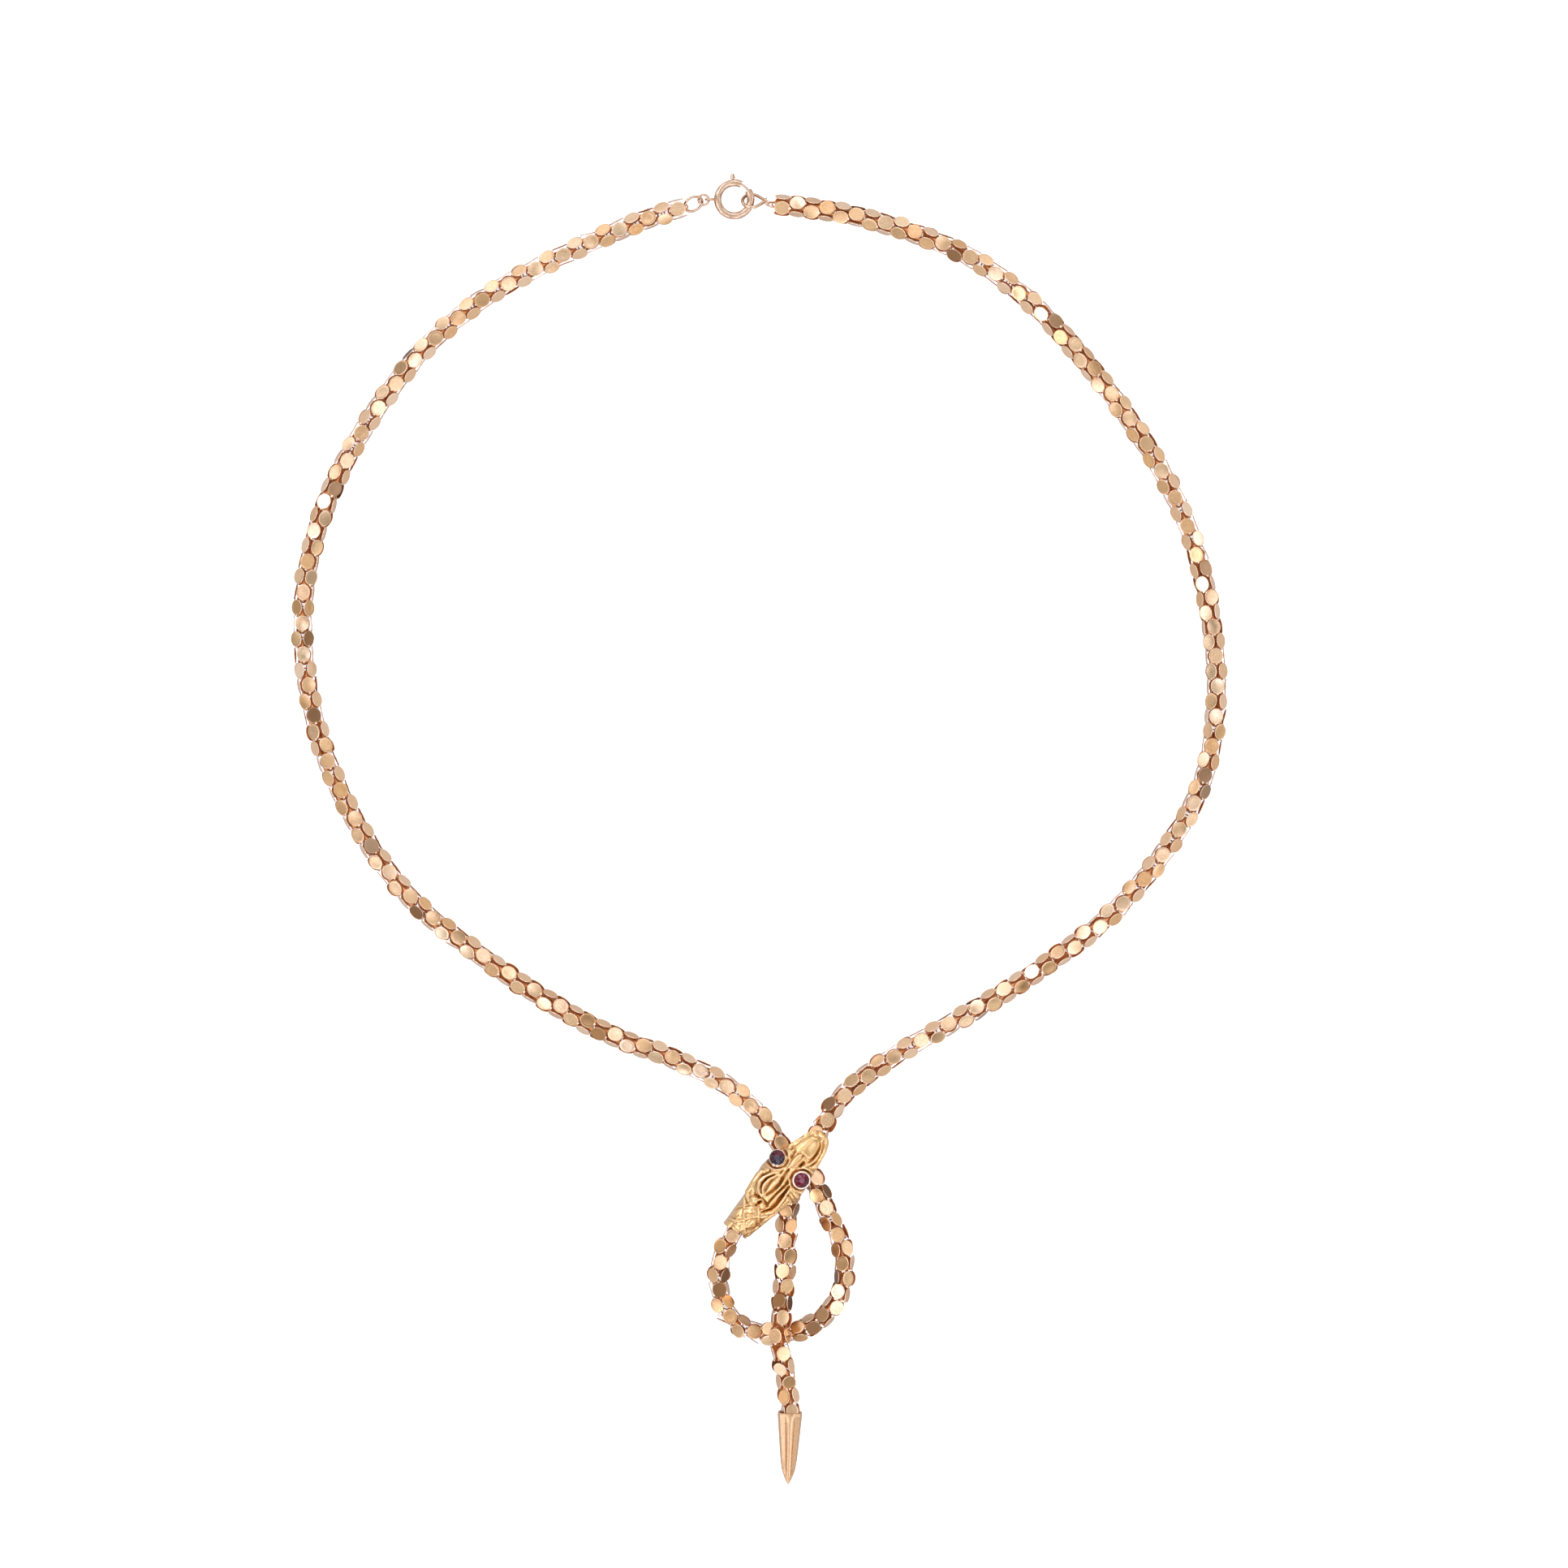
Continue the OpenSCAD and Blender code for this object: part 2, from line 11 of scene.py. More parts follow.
import bpy
import numpy as np
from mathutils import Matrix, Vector


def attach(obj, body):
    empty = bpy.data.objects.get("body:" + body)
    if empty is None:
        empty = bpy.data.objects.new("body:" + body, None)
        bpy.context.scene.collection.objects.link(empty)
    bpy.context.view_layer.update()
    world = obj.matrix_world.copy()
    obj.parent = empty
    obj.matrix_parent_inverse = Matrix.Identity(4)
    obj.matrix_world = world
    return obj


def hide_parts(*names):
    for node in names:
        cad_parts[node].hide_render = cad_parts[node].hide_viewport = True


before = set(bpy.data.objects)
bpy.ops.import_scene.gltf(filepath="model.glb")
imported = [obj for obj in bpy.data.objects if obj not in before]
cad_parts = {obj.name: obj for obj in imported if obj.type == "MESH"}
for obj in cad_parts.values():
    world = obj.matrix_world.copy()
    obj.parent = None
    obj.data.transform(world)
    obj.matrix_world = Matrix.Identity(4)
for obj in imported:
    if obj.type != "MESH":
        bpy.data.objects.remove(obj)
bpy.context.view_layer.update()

log = logging.getLogger("snake_choker")
MM = 0.001
BODY = "necklace"
SEED = 1880
AXIS_Z = 1.7  # height of a lying chain's axis
LINK_TURN = 45.0  # degrees from a link to the next one
DISCS = 4  # discs of a link
DISC_TURN = 360 / DISCS
DISC_RINGS = 10  # rings of points on a disc
WORN_SIDES = 6  # flats that wear has left on a disc's edge
APEX = 0.004  # radius left open at the top of a grain
UP = (0.0, 0.0, 1.0)
WHITE = (1.0, 1.0, 1.0, 1.0)

Row = Sequence[float]
Grid = np.ndarray
Shape = tuple[Grid, Grid, Grid]  # points, quads and triangles
NO_TRIS = np.zeros((0, 3), int)


class Slot(Enum):
    """The record's material slots."""

    CHAIN = "chain_gold"
    HEAD = "head_gold"
    ROSE = "rose_gold"
    GARNET = "garnet"


class Chased(Enum):
    """How a stroke of the chaser's tools changes the head's skin."""

    RIDGE = 1
    GROOVE = -1


def lying(turn: float, *spots: Row) -> list[Row]:
    """Returns the rows of a strand that lies flat with one turn, from x and y pairs."""
    return [(x, y, AXIS_Z, turn) for x, y in spots]


# Routes. Columns: x, y, height of the axis, turn of the links about the axis in degrees
HEAD_ROUTE = (
    (-3.4, -59.0, 3.5, 0), (-4.9, -61.8, 2.9, 0), (-5.8, -64.4, 2.3, 0), (-5.95, -67.4, 1.8, 0),
    *lying(0, (-5.5, -70.0), (-4.2, -72.2), (-2.1, -73.8)),
    (0.7, -74.6, AXIS_Z, 4), (3.8, -74.6, AXIS_Z, 12), (6.7, -73.9, AXIS_Z, 18),
    (9.3, -72.3, AXIS_Z, 24), (11.3, -69.8, AXIS_Z, 28), (12.4, -66.9, AXIS_Z, 30),
    (12.5, -63.9, AXIS_Z, 34), (11.8, -60.4, AXIS_Z, 42), (10.3, -57.4, AXIS_Z, 49),
    (9.0, -54.0, AXIS_Z, 62), (7.7, -51.4, AXIS_Z, 75), (6.1, -49.5, AXIS_Z, 88),
    (4.3, -48.0, AXIS_Z, 97), (2.6, -46.1, AXIS_Z, 108), (0.6, -43.2, AXIS_Z, 122),
    (-1.5, -40.7, AXIS_Z, 131),
    *lying(135, (-4.6, -38.1), (-11.6, -34.5), (-22.4, -30.3), (-32.4, -24.8), (-41.7, -18.4),
           (-50.7, -11.2), (-57.8, -2.1), (-63.2, 8.3), (-66.5, 19.6), (-67.5, 31.3),
           (-65.8, 42.9), (-61.5, 53.7), (-55.6, 63.4), (-48.5, 72.0), (-40.0, 78.9),
           (-30.4, 84.1), (-20.8, 88.5), (-12.1, 91.6), (-10.2, 92.1)))
TAIL_ROUTE = (
    (4.6, -87.4, 1.75, 13), (4.6, -86.0, 1.75, 14), (4.4, -84.0, 1.8, 12), (4.1, -81.9, 2.3, 15),
    (3.7, -79.4, 3.4, 11), (3.2, -77.0, 4.5, 13), (3.0, -74.6, 4.95, 14), (3.2, -72.0, 4.5, 15),
    (3.4, -69.3, 3.4, 25), (3.65, -66.2, 2.4, 29), (3.95, -63.4, 2, 29), (4.15, -60.4, 2.1, 29),
    (4.1, -57.4, 2.7, 28), (4.5, -55.0, 3.5, 22), (5.3, -52.6, 4.3, 8), (6.4, -50.2, 4.6, 0),
    (7.6, -47.7, 4.25, -13), (8.7, -45.4, 3.6, -28), (9.9, -42.9, 2.8, -40),
    (11.3, -40.7, 2.2, -45), (13.6, -38.3, 1.8, -45),
    *lying(-45, (17.6, -35.2), (23.0, -31.8), (33.1, -26.1), (42.9, -19.8), (52.2, -12.5),
           (60.0, -3.3), (65.7, 7.4), (67.6, 19.4), (66.7, 31.3), (64.1, 42.6), (59.4, 53.0),
           (53.5, 62.2), (46.9, 70.7), (39.5, 78.4), (30.8, 84.7), (20.9, 88.7), (10.6, 91.3),
           (3.3, 92.2), (1.9, 92.3)))
# Where chosen links sit along their route. Columns: link, distance from the route's start
HEAD_STATIONS = ((0, 1.05), (22, 49.0), (29, 65.75), (51, 115.9), (66, 151.3), (68, 156.0),
                 (82, 188.1), (87, 199.6), (99, 226.4), (113, 258.4))
TAIL_STATIONS = ((0, 1.35), (19, 47.1), (29, 70.8), (44, 107.0), (60, 142.6), (66, 155.6),
                 (92, 214.2), (98, 227.7), (105, 243.2))
# Slow twist of the discs over their eyes. Columns: distance from the route's start, degrees
HEAD_TWIST = ((60, 0), (66, 6), (70.7, -4), (80, 12), (92, 20), (101, 18), (111, 16), (116, 12),
              (145, 10), (149, 5), (151.3, -17), (156, -37), (160.5, -33), (165, -45), (174, -47),
              (179, -53), (183.5, -57), (188.1, -64), (199.6, -88), (206, -78), (215, -80),
              (226.5, -83), (231, -81), (240, -87), (258.4, -90))
TAIL_TWIST = ((44, 0), (51.7, 7), (56.4, 9), (61, 1), (66, 0), (71, -8), (88, -22), (100, -38),
              (107, -45), (142.6, -42), (147, -35), (151, -20), (155.5, -15), (162, -3), (171, 0),
              (186, 6), (193.5, 20), (204, 35), (214, 46), (223, 52), (228, 51), (236, 60),
              (243, 68))


@dataclass
class MeshStock:
    """Gathers the corners, faces and per-point marks of one piece before its mesh is made."""

    points: list[Grid] = field(default_factory=list)
    quads: list[Grid] = field(default_factory=list)
    tris: list[Grid] = field(default_factory=list)
    marks: dict[str, list[Grid]] = field(default_factory=dict)
    count: int = 0

    def add(self, points: Grid, quads: Grid, tris: Grid, marks: dict[str, Grid]) -> None:
        """Adds one closed shape.

        Args:
            points: Its corners in millimetres.
            quads: Rows of four corner numbers.
            tris: Rows of three corner numbers.
            marks: A value for each corner, by the mark's name.
        """
        self.points.append(points)
        self.quads.append(quads + self.count)
        self.tris.append(tris + self.count)
        for name in set(self.marks) | set(marks):
            held = self.marks.setdefault(name, [np.zeros(self.count)] if self.count else [])
            held.append(marks.get(name, np.zeros(len(points))))
        self.count += len(points)

    def make(self, name: str, sharp: float = 40.0) -> bpy.types.Object:
        """Turns what was gathered into one Blender object.

        Args:
            name: The piece's name.
            sharp: Angle in degrees above which an edge stays crisp; 0 leaves each face flat.

        Returns:
            The new object, linked to the scene.
        """
        mesh = bpy.data.meshes.new(name)
        points = np.concatenate(self.points) * MM
        quads, tris = np.concatenate(self.quads), np.concatenate(self.tris)
        corners = np.concatenate([quads.ravel(), tris.ravel()])
        starts = np.concatenate([np.arange(len(quads)) * 4,
                                 len(quads) * 4 + np.arange(len(tris)) * 3])
        mesh.vertices.add(len(points))
        mesh.vertices.foreach_set("co", points.ravel())
        mesh.loops.add(len(corners))
        mesh.loops.foreach_set("vertex_index", corners.astype(np.int32))
        mesh.polygons.add(len(starts))
        mesh.polygons.foreach_set("loop_start", starts.astype(np.int32))
        for mark, values in self.marks.items():
            layer = mesh.attributes.new(mark, "FLOAT", "POINT")
            layer.data.foreach_set("value", np.concatenate(values).astype(np.float32))
        mesh.update(calc_edges=True)
        mesh.validate()
        mesh.polygons.foreach_set("use_smooth", np.full(len(mesh.polygons), sharp > 0))
        if sharp > 0:
            mesh.set_sharp_from_angle(angle=math.radians(sharp))
        made = bpy.data.objects.new(name, mesh)
        bpy.context.collection.objects.link(made)
        return made


def loft(rings: Grid, capped: bool = True) -> Shape:
    """Skins a stack of closed rings.

    Args:
        rings: Array of ring, point and x, y, z.
        capped: Whether the two end rings are closed with fans to their middles.

    Returns:
        Points, quads and triangles, with faces turned outwards for rings that run
        anticlockwise as the stack climbs.
    """
    count, around = rings.shape[:2]
    points = rings.reshape(-1, 3)
    row, col = np.meshgrid(np.arange(count - 1), np.arange(around), indexing="ij")
    here = row * around + col
    beside = row * around + (col + 1) % around
    quads = np.stack([here, beside, beside + around, here + around], -1).reshape(-1, 4)
    tris = NO_TRIS
    if capped:
        points = np.concatenate([points, rings[0].mean(0)[None], rings[-1].mean(0)[None]])
        k = np.arange(around)
        after = (k + 1) % around
        foot, head = count * around, count * around + 1
        last = (count - 1) * around
        tris = np.concatenate([np.stack([after, k, np.full(around, foot)], -1),
                               np.stack([last + k, last + after, np.full(around, head)], -1)])
    return points, quads, tris


def turned(profile: Sequence[Row], segments: int, waist: Callable[[Grid], Grid] | None = None
           ) -> Shape:
    """Turns a profile about +Z on the lathe.

    Args:
        profile: Radius and height of each station, from the bottom up.
        segments: Stations round the axis.
        waist: Optional change of the radius by the angle round the axis.

    Returns:
        Points, quads and triangles.
    """
    angle = np.arange(segments) * math.tau / segments
    swell = waist(angle) if waist else np.ones(segments)
    rings = np.array([np.stack([r * swell * np.cos(angle), r * swell * np.sin(angle),
                                np.full(segments, z)], -1) for r, z in profile])
    return loft(rings)


def dome(radius: float, tall: float, low: float, stations: int, segments: int) -> Shape:
    """Turns a grain of metal that ends at an angle low, in radians, below its widest ring."""
    return turned([(max(radius * math.cos(a), APEX), radius * tall * math.sin(a))
                   for a in np.linspace(-low, math.pi / 2, stations)], segments)


def looped_wire(path: Grid, thickness: float, flat: float, around: int = 8) -> Shape:
    """Sweeps a flattened wire along a level path that joins its own start.

    Args:
        path: The wire's middle line.
        thickness: Its width.
        flat: Height of the section over its width.
        around: Points round the wire.

    Returns:
        Points, quads and triangles.
    """
    along = np.roll(path, -1, 0) - np.roll(path, 1, 0)
    along /= np.linalg.norm(along, axis=1)[:, None]
    side = np.cross(along[0], UP)
    angle = np.arange(around) * math.tau / around
    rings = []
    for middle, way in zip(path, along):
        side = side - way * (side @ way)
        side /= np.linalg.norm(side)
        up = np.cross(side, way)
        rings.append(middle + thickness / 2 * (np.cos(angle)[:, None] * side
                                               + flat * np.sin(angle)[:, None] * up))
    points, quads, _ = loft(np.array([*rings, rings[0]]), capped=False)
    size = len(path) * around
    return points[:size], quads % size, NO_TRIS


def rolled(points: Grid, degrees: float) -> Grid:
    """Turns points about the +X axis."""
    c, s = math.cos(math.radians(degrees)), math.sin(math.radians(degrees))
    return points @ np.array([[1, 0, 0], [0, c, -s], [0, s, c]]).T


def tipped(points: Grid, degrees: float) -> Grid:
    """Turns points about the +Y axis."""
    c, s = math.cos(math.radians(degrees)), math.sin(math.radians(degrees))
    return points @ np.array([[c, 0, s], [0, 1, 0], [-s, 0, c]]).T


def spun(points: Grid, degrees: float) -> Grid:
    """Turns points about the +Z axis."""
    c, s = math.cos(math.radians(degrees)), math.sin(math.radians(degrees))
    return points @ np.array([[c, -s, 0], [s, c, 0], [0, 0, 1]]).T


def unit(v: Sequence[float]) -> Grid:
    """Returns the vector at length one."""
    v = np.asarray(v, float)
    return v / np.linalg.norm(v)


def pointed(points: Grid, way: Sequence[float], spot: Sequence[float]) -> Grid:
    """Points a shape that runs along +X another way, with its top up, and puts it in place.

    Args:
        points: The shape's points.
        way: Where its +X goes.
        spot: Where its origin goes.

    Returns:
        The points in the part's own place.
    """
    along = unit(way)
    left = unit(np.cross(UP, along))
    return points @ np.array([along, left, np.cross(along, left)]) + spot


@dataclass
class Route:
    """The line a strand follows, walked by length."""

    table: Sequence[Row]
    steps: int = 6
    path: Grid = field(init=False)
    walked: Grid = field(init=False)

    def __post_init__(self) -> None:
        """Smooths the table and measures it."""
        rows = np.array(self.table, float)
        spans = np.linalg.norm(np.diff(rows[:, :3], axis=0), axis=1)
        slopes = np.empty_like(rows)
        slopes[0] = (rows[1] - rows[0]) / spans[0]
        slopes[-1] = (rows[-1] - rows[-2]) / spans[-1]
        for i in range(1, len(rows) - 1):
            before, after = spans[i - 1], spans[i]
            slopes[i] = ((rows[i + 1] - rows[i]) * before / after
                         + (rows[i] - rows[i - 1]) * after / before) / (before + after)
        line = []
        for i, span in enumerate(spans):
            for k in range(self.steps):
                u = k / self.steps
                line.append(rows[i] * (2 * u**3 - 3 * u**2 + 1)
                            + slopes[i] * span * (u**3 - 2 * u**2 + u)
                            + rows[i + 1] * (3 * u**2 - 2 * u**3)
                            + slopes[i + 1] * span * (u**3 - u**2))
        line.append(rows[-1])
        self.path = np.array(line)
        gaps = np.linalg.norm(np.diff(self.path[:, :3], axis=0), axis=1)
        self.walked = np.array([0.0, *np.cumsum(gaps)])

    def at(self, distance: float) -> Grid:
        """Returns x, y, z and turn at a distance from the start."""
        return np.array([np.interp(distance, self.walked, column) for column in self.path.T])

    def lay(self, points: Grid, distance: float, reach: float = 1.35) -> Grid:
        """Puts a link's points on the route.

        Args:
            points: Points with +X along the chain.
            distance: Where the link's middle sits.
            reach: Half the length that the link bridges.

        Returns:
            The points in the part's own place.
        """
        spot = self.at(distance)
        way = self.at(distance + reach)[:3] - self.at(distance - reach)[:3]
        return pointed(rolled(points, spot[3]), way, spot[:3])


@dataclass(frozen=True)
class LinkStamp:
    """The stamped parts of one link: four discs folded into a box, corner webs, tabs and eyes.

    tilt is the spread of the discs' tilt in degrees, dull how much darker they are, tones the
    spread of that, shaded the share of them painted as lying in shade, and shade how deep that
    painted shade is.
    sprung is the share of the corners that came apart, and flare how far webs are bent out.
    """

    reach: float = 1.36
    disc_l: float = 2.36
    disc_w: float = 2.08
    disc_t: float = 0.13
    crown: tuple[float, float] = (0.002, 0.018)
    worn: float = 0.025
    segments: int = 28
    web_from: float = -0.1
    web_to: float = -1.2
    web_t: float = 0.09
    web_bend: float = 0.14
    tab_w: float = 0.36
    eye_from: float = 0.12
    eye_to: float = 1.6
    eye_w: float = 1.45
    eye_wire: float = 0.22
    eye_flat: float = 0.75
    tilt: float = 4.2
    dull: float = 0.0
    tones: float = 0.5
    shaded: float = 0.035
    shade: tuple[float, float] = (0.55, 0.95)
    clearance: float = 0.035
    sprung: float = 0.35
    flare: tuple[float, float] = (-0.04, 0.05)

    def disc(self, dice: random.Random, nearby: Sequence[tuple[float, float]]) -> Shape:
        """Stamps one disc with a rounded rim, lying face up at the top of the box.

        Args:
            dice: Source of the small differences between discs.
            nearby: Direction in radians and distance of the discs that it must clear.

        Returns:
            Points, quads and triangles.
        """
        r, t = self.disc_l / 2, self.disc_t
        crown = dice.gauss(*self.crown)
        profile = [(0.5 * r, -t), (0.93 * r, -t), (0.985 * r, -0.86 * t), (r, -0.62 * t),
                   (r, -0.36 * t), (0.986 * r, -0.14 * t), (0.955 * r, -0.03 * t),
                   (0.9 * r, 0.0), (0.62 * r, 0.55 * crown), (0.3 * r, crown)]
        worn, start = dice.uniform(0.0, self.worn), dice.uniform(0, math.tau / WORN_SIDES)

        def outline(angle: Grid) -> Grid:
            """Draws the disc's edge.

            Args:
                angle: Angles round the disc in radians.

            Returns:
                Shares of the full radius, smaller where a neighbour needs the room.
            """
            share = 1 / np.hypot(np.cos(angle), np.sin(angle) * self.disc_l / self.disc_w)
            share = share * (1 - worn * (0.5 - 0.5 * np.cos(WORN_SIDES * (angle + start))))
            for way, far in nearby:
                facing = np.maximum(np.cos(angle - way), 0.3)
                share = np.minimum(share, (far / 2 - self.clearance) / r / facing)
            return share

        points, quads, tris = turned(profile, self.segments, outline)
        points = rolled(tipped(points, dice.gauss(0, self.tilt)), dice.gauss(0, self.tilt))
        return points + [0, 0, self.reach], quads, tris

    def disc_marks(self, first: int, last: int) -> Grid:
        """Marks some of a disc's rings of points, counted down from its face.

        Args:
            first: The first ring that is marked.
            last: The first ring that is no longer marked.

        Returns:
            One for each marked point, the middle that the last ring closes on among them.
        """
        count = DISC_RINGS * self.segments
        marks = np.zeros(count + 2)
        marks[count - last * self.segments:count - first * self.segments] = 1.0
        marks[count] = float(last == DISC_RINGS)
        return marks

    def web(self, open_corner: bool, flare: float) -> list[Shape]:
        """Bends the sheet that closes a corner of the box, flaring towards its open end.

        Args:
            open_corner: Whether the sheet has sprung apart along the corner.
            flare: How far its open end is bent out beyond the usual.

        Returns:
            One folded sheet, or two flat ones with a gap between them.
        """
        bend, thick, start = self.web_bend, self.web_t, self.web_from
        span = self.web_to - start
        stations = ((start, 0.88, 0.08), (start + 0.3 * span, 0.89, 0.24),
                    (start + 0.65 * span, 0.9, 0.52), (start + 0.9 * span, 0.92, 0.68),
                    (self.web_to, 0.94 + flare, 0.7))
        folded, left, right = [], [], []
        for x, corner, leg in stations:
            line = [(corner, corner - leg - bend), (corner, corner - bend),
                    (corner - bend * 0.3, corner - bend * 0.3), (corner - bend, corner),
                    (corner - leg - bend, corner)]
            inner = [(y - thick if k < 3 else y, z - thick if k > 1 else z)
                     for k, (y, z) in enumerate(line)]
            folded.append([(x, y, z) for y, z in line + inner[::-1]])
            edge = corner - 2.2 * bend
            left.append([(x, corner, edge - leg), (x, corner, edge),
                         (x, corner - thick, edge), (x, corner - thick, edge - leg)])
            right.append([(x, z, y) for x, y, z in left[-1]][::-1])
        rows = (left, right) if open_corner else (folded,)
        return [loft(np.array(row)[::-1]) for row in rows]

    def tab(self) -> Shape:
        """Folds the small bright tab at a disc's open end over the next link.

        Returns:
            Points, quads and triangles.
        """
        rings = []
        for k, (x, z, share, deep) in enumerate((
                (-0.98, -0.1, 1.0, 0.1), (-1.14, -0.06, 1.0, 0.12), (-1.26, -0.1, 0.94, 0.12),
                (-1.31, -0.24, 0.86, 0.11), (-1.28, -0.4, 0.7, 0.08))):
            wide = self.tab_w / 2 * share
            fall = min(k * 24.0, 80.0)
            c, s = math.cos(math.radians(fall)), math.sin(math.radians(fall))
            section = [(wide, 0.5), (0.7 * wide, 1.0), (-0.7 * wide, 1.0), (-wide, 0.5),
                       (-0.8 * wide, 0.0), (0.8 * wide, 0.0)]
            rings.append([(x + s * deep * (0.5 - v), y, self.reach + z + c * deep * (v - 0.5))
                          for y, v in section])
        return loft(np.array(rings))

    def eyes(self) -> list[Shape]:
        """Bends the two flat eyes inside the link that hook its neighbours.

        Returns:
            The eye ahead and the eye behind.
        """
        half = (self.eye_w - self.eye_wire) / 2
        near, far = self.eye_from + self.eye_wire / 2, self.eye_to - self.eye_wire / 2
        bow = half * 0.8
        line = [(near, -half), (far - bow, -half)]
        line += [(far - bow + bow * math.cos(a), half * math.sin(a))
                 for a in np.linspace(-math.pi / 2, math.pi / 2, 9)[1:-1]]
        line += [(far - bow, half), (near, half)]
        return [looped_wire(np.array([(way * x, way * y, 0.0) for x, y in line]), self.eye_wire,
                            self.eye_flat) for way in (1, -1)]


@dataclass
class Chain:
    """One strand of the chain, made as several pieces that meet at whole links.

    aside is how far to the side the next link's discs lie, and lean the spread of the links'
    own roll in degrees. Links up to loop_links have the tight loop's stamp.
    """

    name: str
    node: str
    route: Route
    stations: Sequence[Row]
    twists: Sequence[Row]
    loop_links: int
    spans: Sequence[tuple[str, int, int]]
    end_name: str
    end_node: str
    aside: float = 1.0
    lean: float = 1.6
    stamp: LinkStamp = LinkStamp()
    loop_stamp: LinkStamp = LinkStamp(reach=1.32, disc_l=2.3, web_to=-1.02, tilt=9.0,
                                      dull=0.4, shaded=0.15)
    end_stamp: LinkStamp = LinkStamp(reach=1.2, disc_l=2.1, disc_w=1.94, web_to=-0.9,
                                     tilt=1.0)

    def distance(self, number: int) -> float:
        """Returns where a link's middle sits on the route."""
        links, places = zip(*self.stations)
        return float(np.interp(number, links, places))

    def roll(self, number: int, side: int) -> float:
        """Returns how far a disc is turned about the chain, over the route's own turn."""
        places, degrees = zip(*self.twists)
        twist = float(np.interp(self.distance(number), places, degrees))
        return LINK_TURN * number + DISC_TURN * side + twist

    def nearby(self, stamp: LinkStamp, number: int, side: int) -> list[tuple[float, float]]:
        """Finds the discs of the next links that a disc must clear.

        Args:
            stamp: The link's stamped parts.
            number: The link's number.
            side: Which of its four discs.

        Returns:
            Direction in radians in the disc's plane and distance of each neighbour.
        """
        def middle(link: int, roll: float) -> Grid:
            """Returns where the middle of a link's disc lies at a roll in degrees."""
            spot = rolled(np.array([[0.0, 0.0, stamp.reach]]), roll)
            return self.route.lay(spot, self.distance(link))[0]

        here = middle(number, self.roll(number, side))
        found = []
        for step in (1, -1):
            gap = self.distance(number + step) - self.distance(number)
            for turn in (-1, 1) if gap else ():
                beside = self.roll(number + step, side) - LINK_TURN * step + LINK_TURN * turn
                there = middle(number + step, beside)
                way = math.atan2(-turn * self.aside, gap)
                found.append((way, float(np.linalg.norm(there - here))))
        return found

    def add_link(self, stock: MeshStock, number: int) -> None:
        """Adds one whole link to a piece.

        Args:
            stock: The piece being gathered.
            number: The link's number, counted from the soldered one, which is zero.
        """
        dice = random.Random(f"{self.name}-{number}")
        stamp = self.stamp if number > self.loop_links else self.loop_stamp
        stamp = stamp if number else self.end_stamp
        where = self.distance(number)
        lean = dice.gauss(0, self.lean)

        def put(shape: Shape, roll: float, **marks: Grid | float) -> None:
            """Rolls a shape about the link and lays it on the route.

            Args:
                shape: Points, quads and triangles.
                roll: Degrees about the chain.
                marks: A value for every point, or one for each.
            """
            points, quads, tris = shape
            laid = self.route.lay(rolled(points, roll + lean), where)
            stock.add(laid, quads, tris, {mark: np.broadcast_to(value, len(points)).astype(float)
                                          for mark, value in marks.items()})

        for side in range(DISCS):
            roll = self.roll(number, side)
            shape = stamp.disc(dice, self.nearby(stamp, number, side))
            tone = dice.gauss(-stamp.dull, stamp.tones)
            # A share of the discs get painted shade, as if they faced a dark part of the room
            dark = dice.uniform(*stamp.shade) if dice.random() < stamp.shaded else 0.0
            # Each disc's underside gets the painted shade of the box's inside, and its rim a
            # painted highlight
            put(shape, roll, tone=tone, inside=stamp.disc_marks(7, DISC_RINGS),
                edge=stamp.disc_marks(4, 7), crease=dark)
            # The corner webs get the painted shade of the box's inside
            for sheet in stamp.web(dice.random() < stamp.sprung, dice.uniform(*stamp.flare)):
                put(sheet, roll, tone=dice.gauss(0, stamp.tones / 2), inside=0.9)
            # The tabs get a painted highlight
            if number:
                put(stamp.tab(), roll, tone=0.4, edge=0.9)
        # The eyes get the painted shade of the box's inside
        for eye in stamp.eyes():
            put(eye, DISC_TURN * (number + 1), tone=0.0, inside=1.0)

    def make_piece(self, finish: bpy.types.Material, node: str, name: str, first: int,
                   last: int) -> None:
        """Makes one piece of whole links.

        Args:
            finish: The chain's material.
            node: The node that the piece stands for.
            name: The piece's name.
            first: Its first link.
            last: Its last link.
        """
        stock = MeshStock()
        for number in range(first, last + 1):
            self.add_link(stock, number)
        dress(stock.make(name), finish, node)

    def build(self, finish: bpy.types.Material) -> None:
        """Makes the strand's loose links in the chain's material."""
        for span in self.spans:
            self.make_piece(finish, self.node, *span)

    def build_end(self, finish: bpy.types.Material) -> None:
        """Makes the end link that is soldered in the head or the cap."""
        self.make_piece(finish, self.end_node, self.end_name, 0, 0)


def dress(piece: bpy.types.Object, finish: bpy.types.Material, node: str) -> None:
    """Gives a piece its finish and slot, puts it on the necklace and hides the frame's part that
    it stands for.

    Args:
        piece: The new piece.
        finish: Its material.
        node: The node that it stands for.
    """
    piece.data.materials.append(finish)
    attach(piece, BODY)
    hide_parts(node)
    log.info("%s: %d faces", piece.name, len(piece.data.polygons))


def beside_line(s: Grid, t: Grid, a: Grid, b: Grid) -> tuple[Grid, Grid]:
    """Finds the nearest place on a straight line from a to b.

    Args:
        s: Distances along the head.
        t: Sides, left being positive.
        a: The line's start, as distance and side.
        b: Its end.

    Returns:
        Shares of the way from a to b, and how far off the line each place is.
    """
    way = (b - a) / ((b - a) @ (b - a))
    share = np.clip((s - a[0]) * way[0] + (t - a[1]) * way[1], 0, 1)
    return share, np.hypot(s - a[0] - share * (b - a)[0], t - a[1] - share * (b - a)[1])


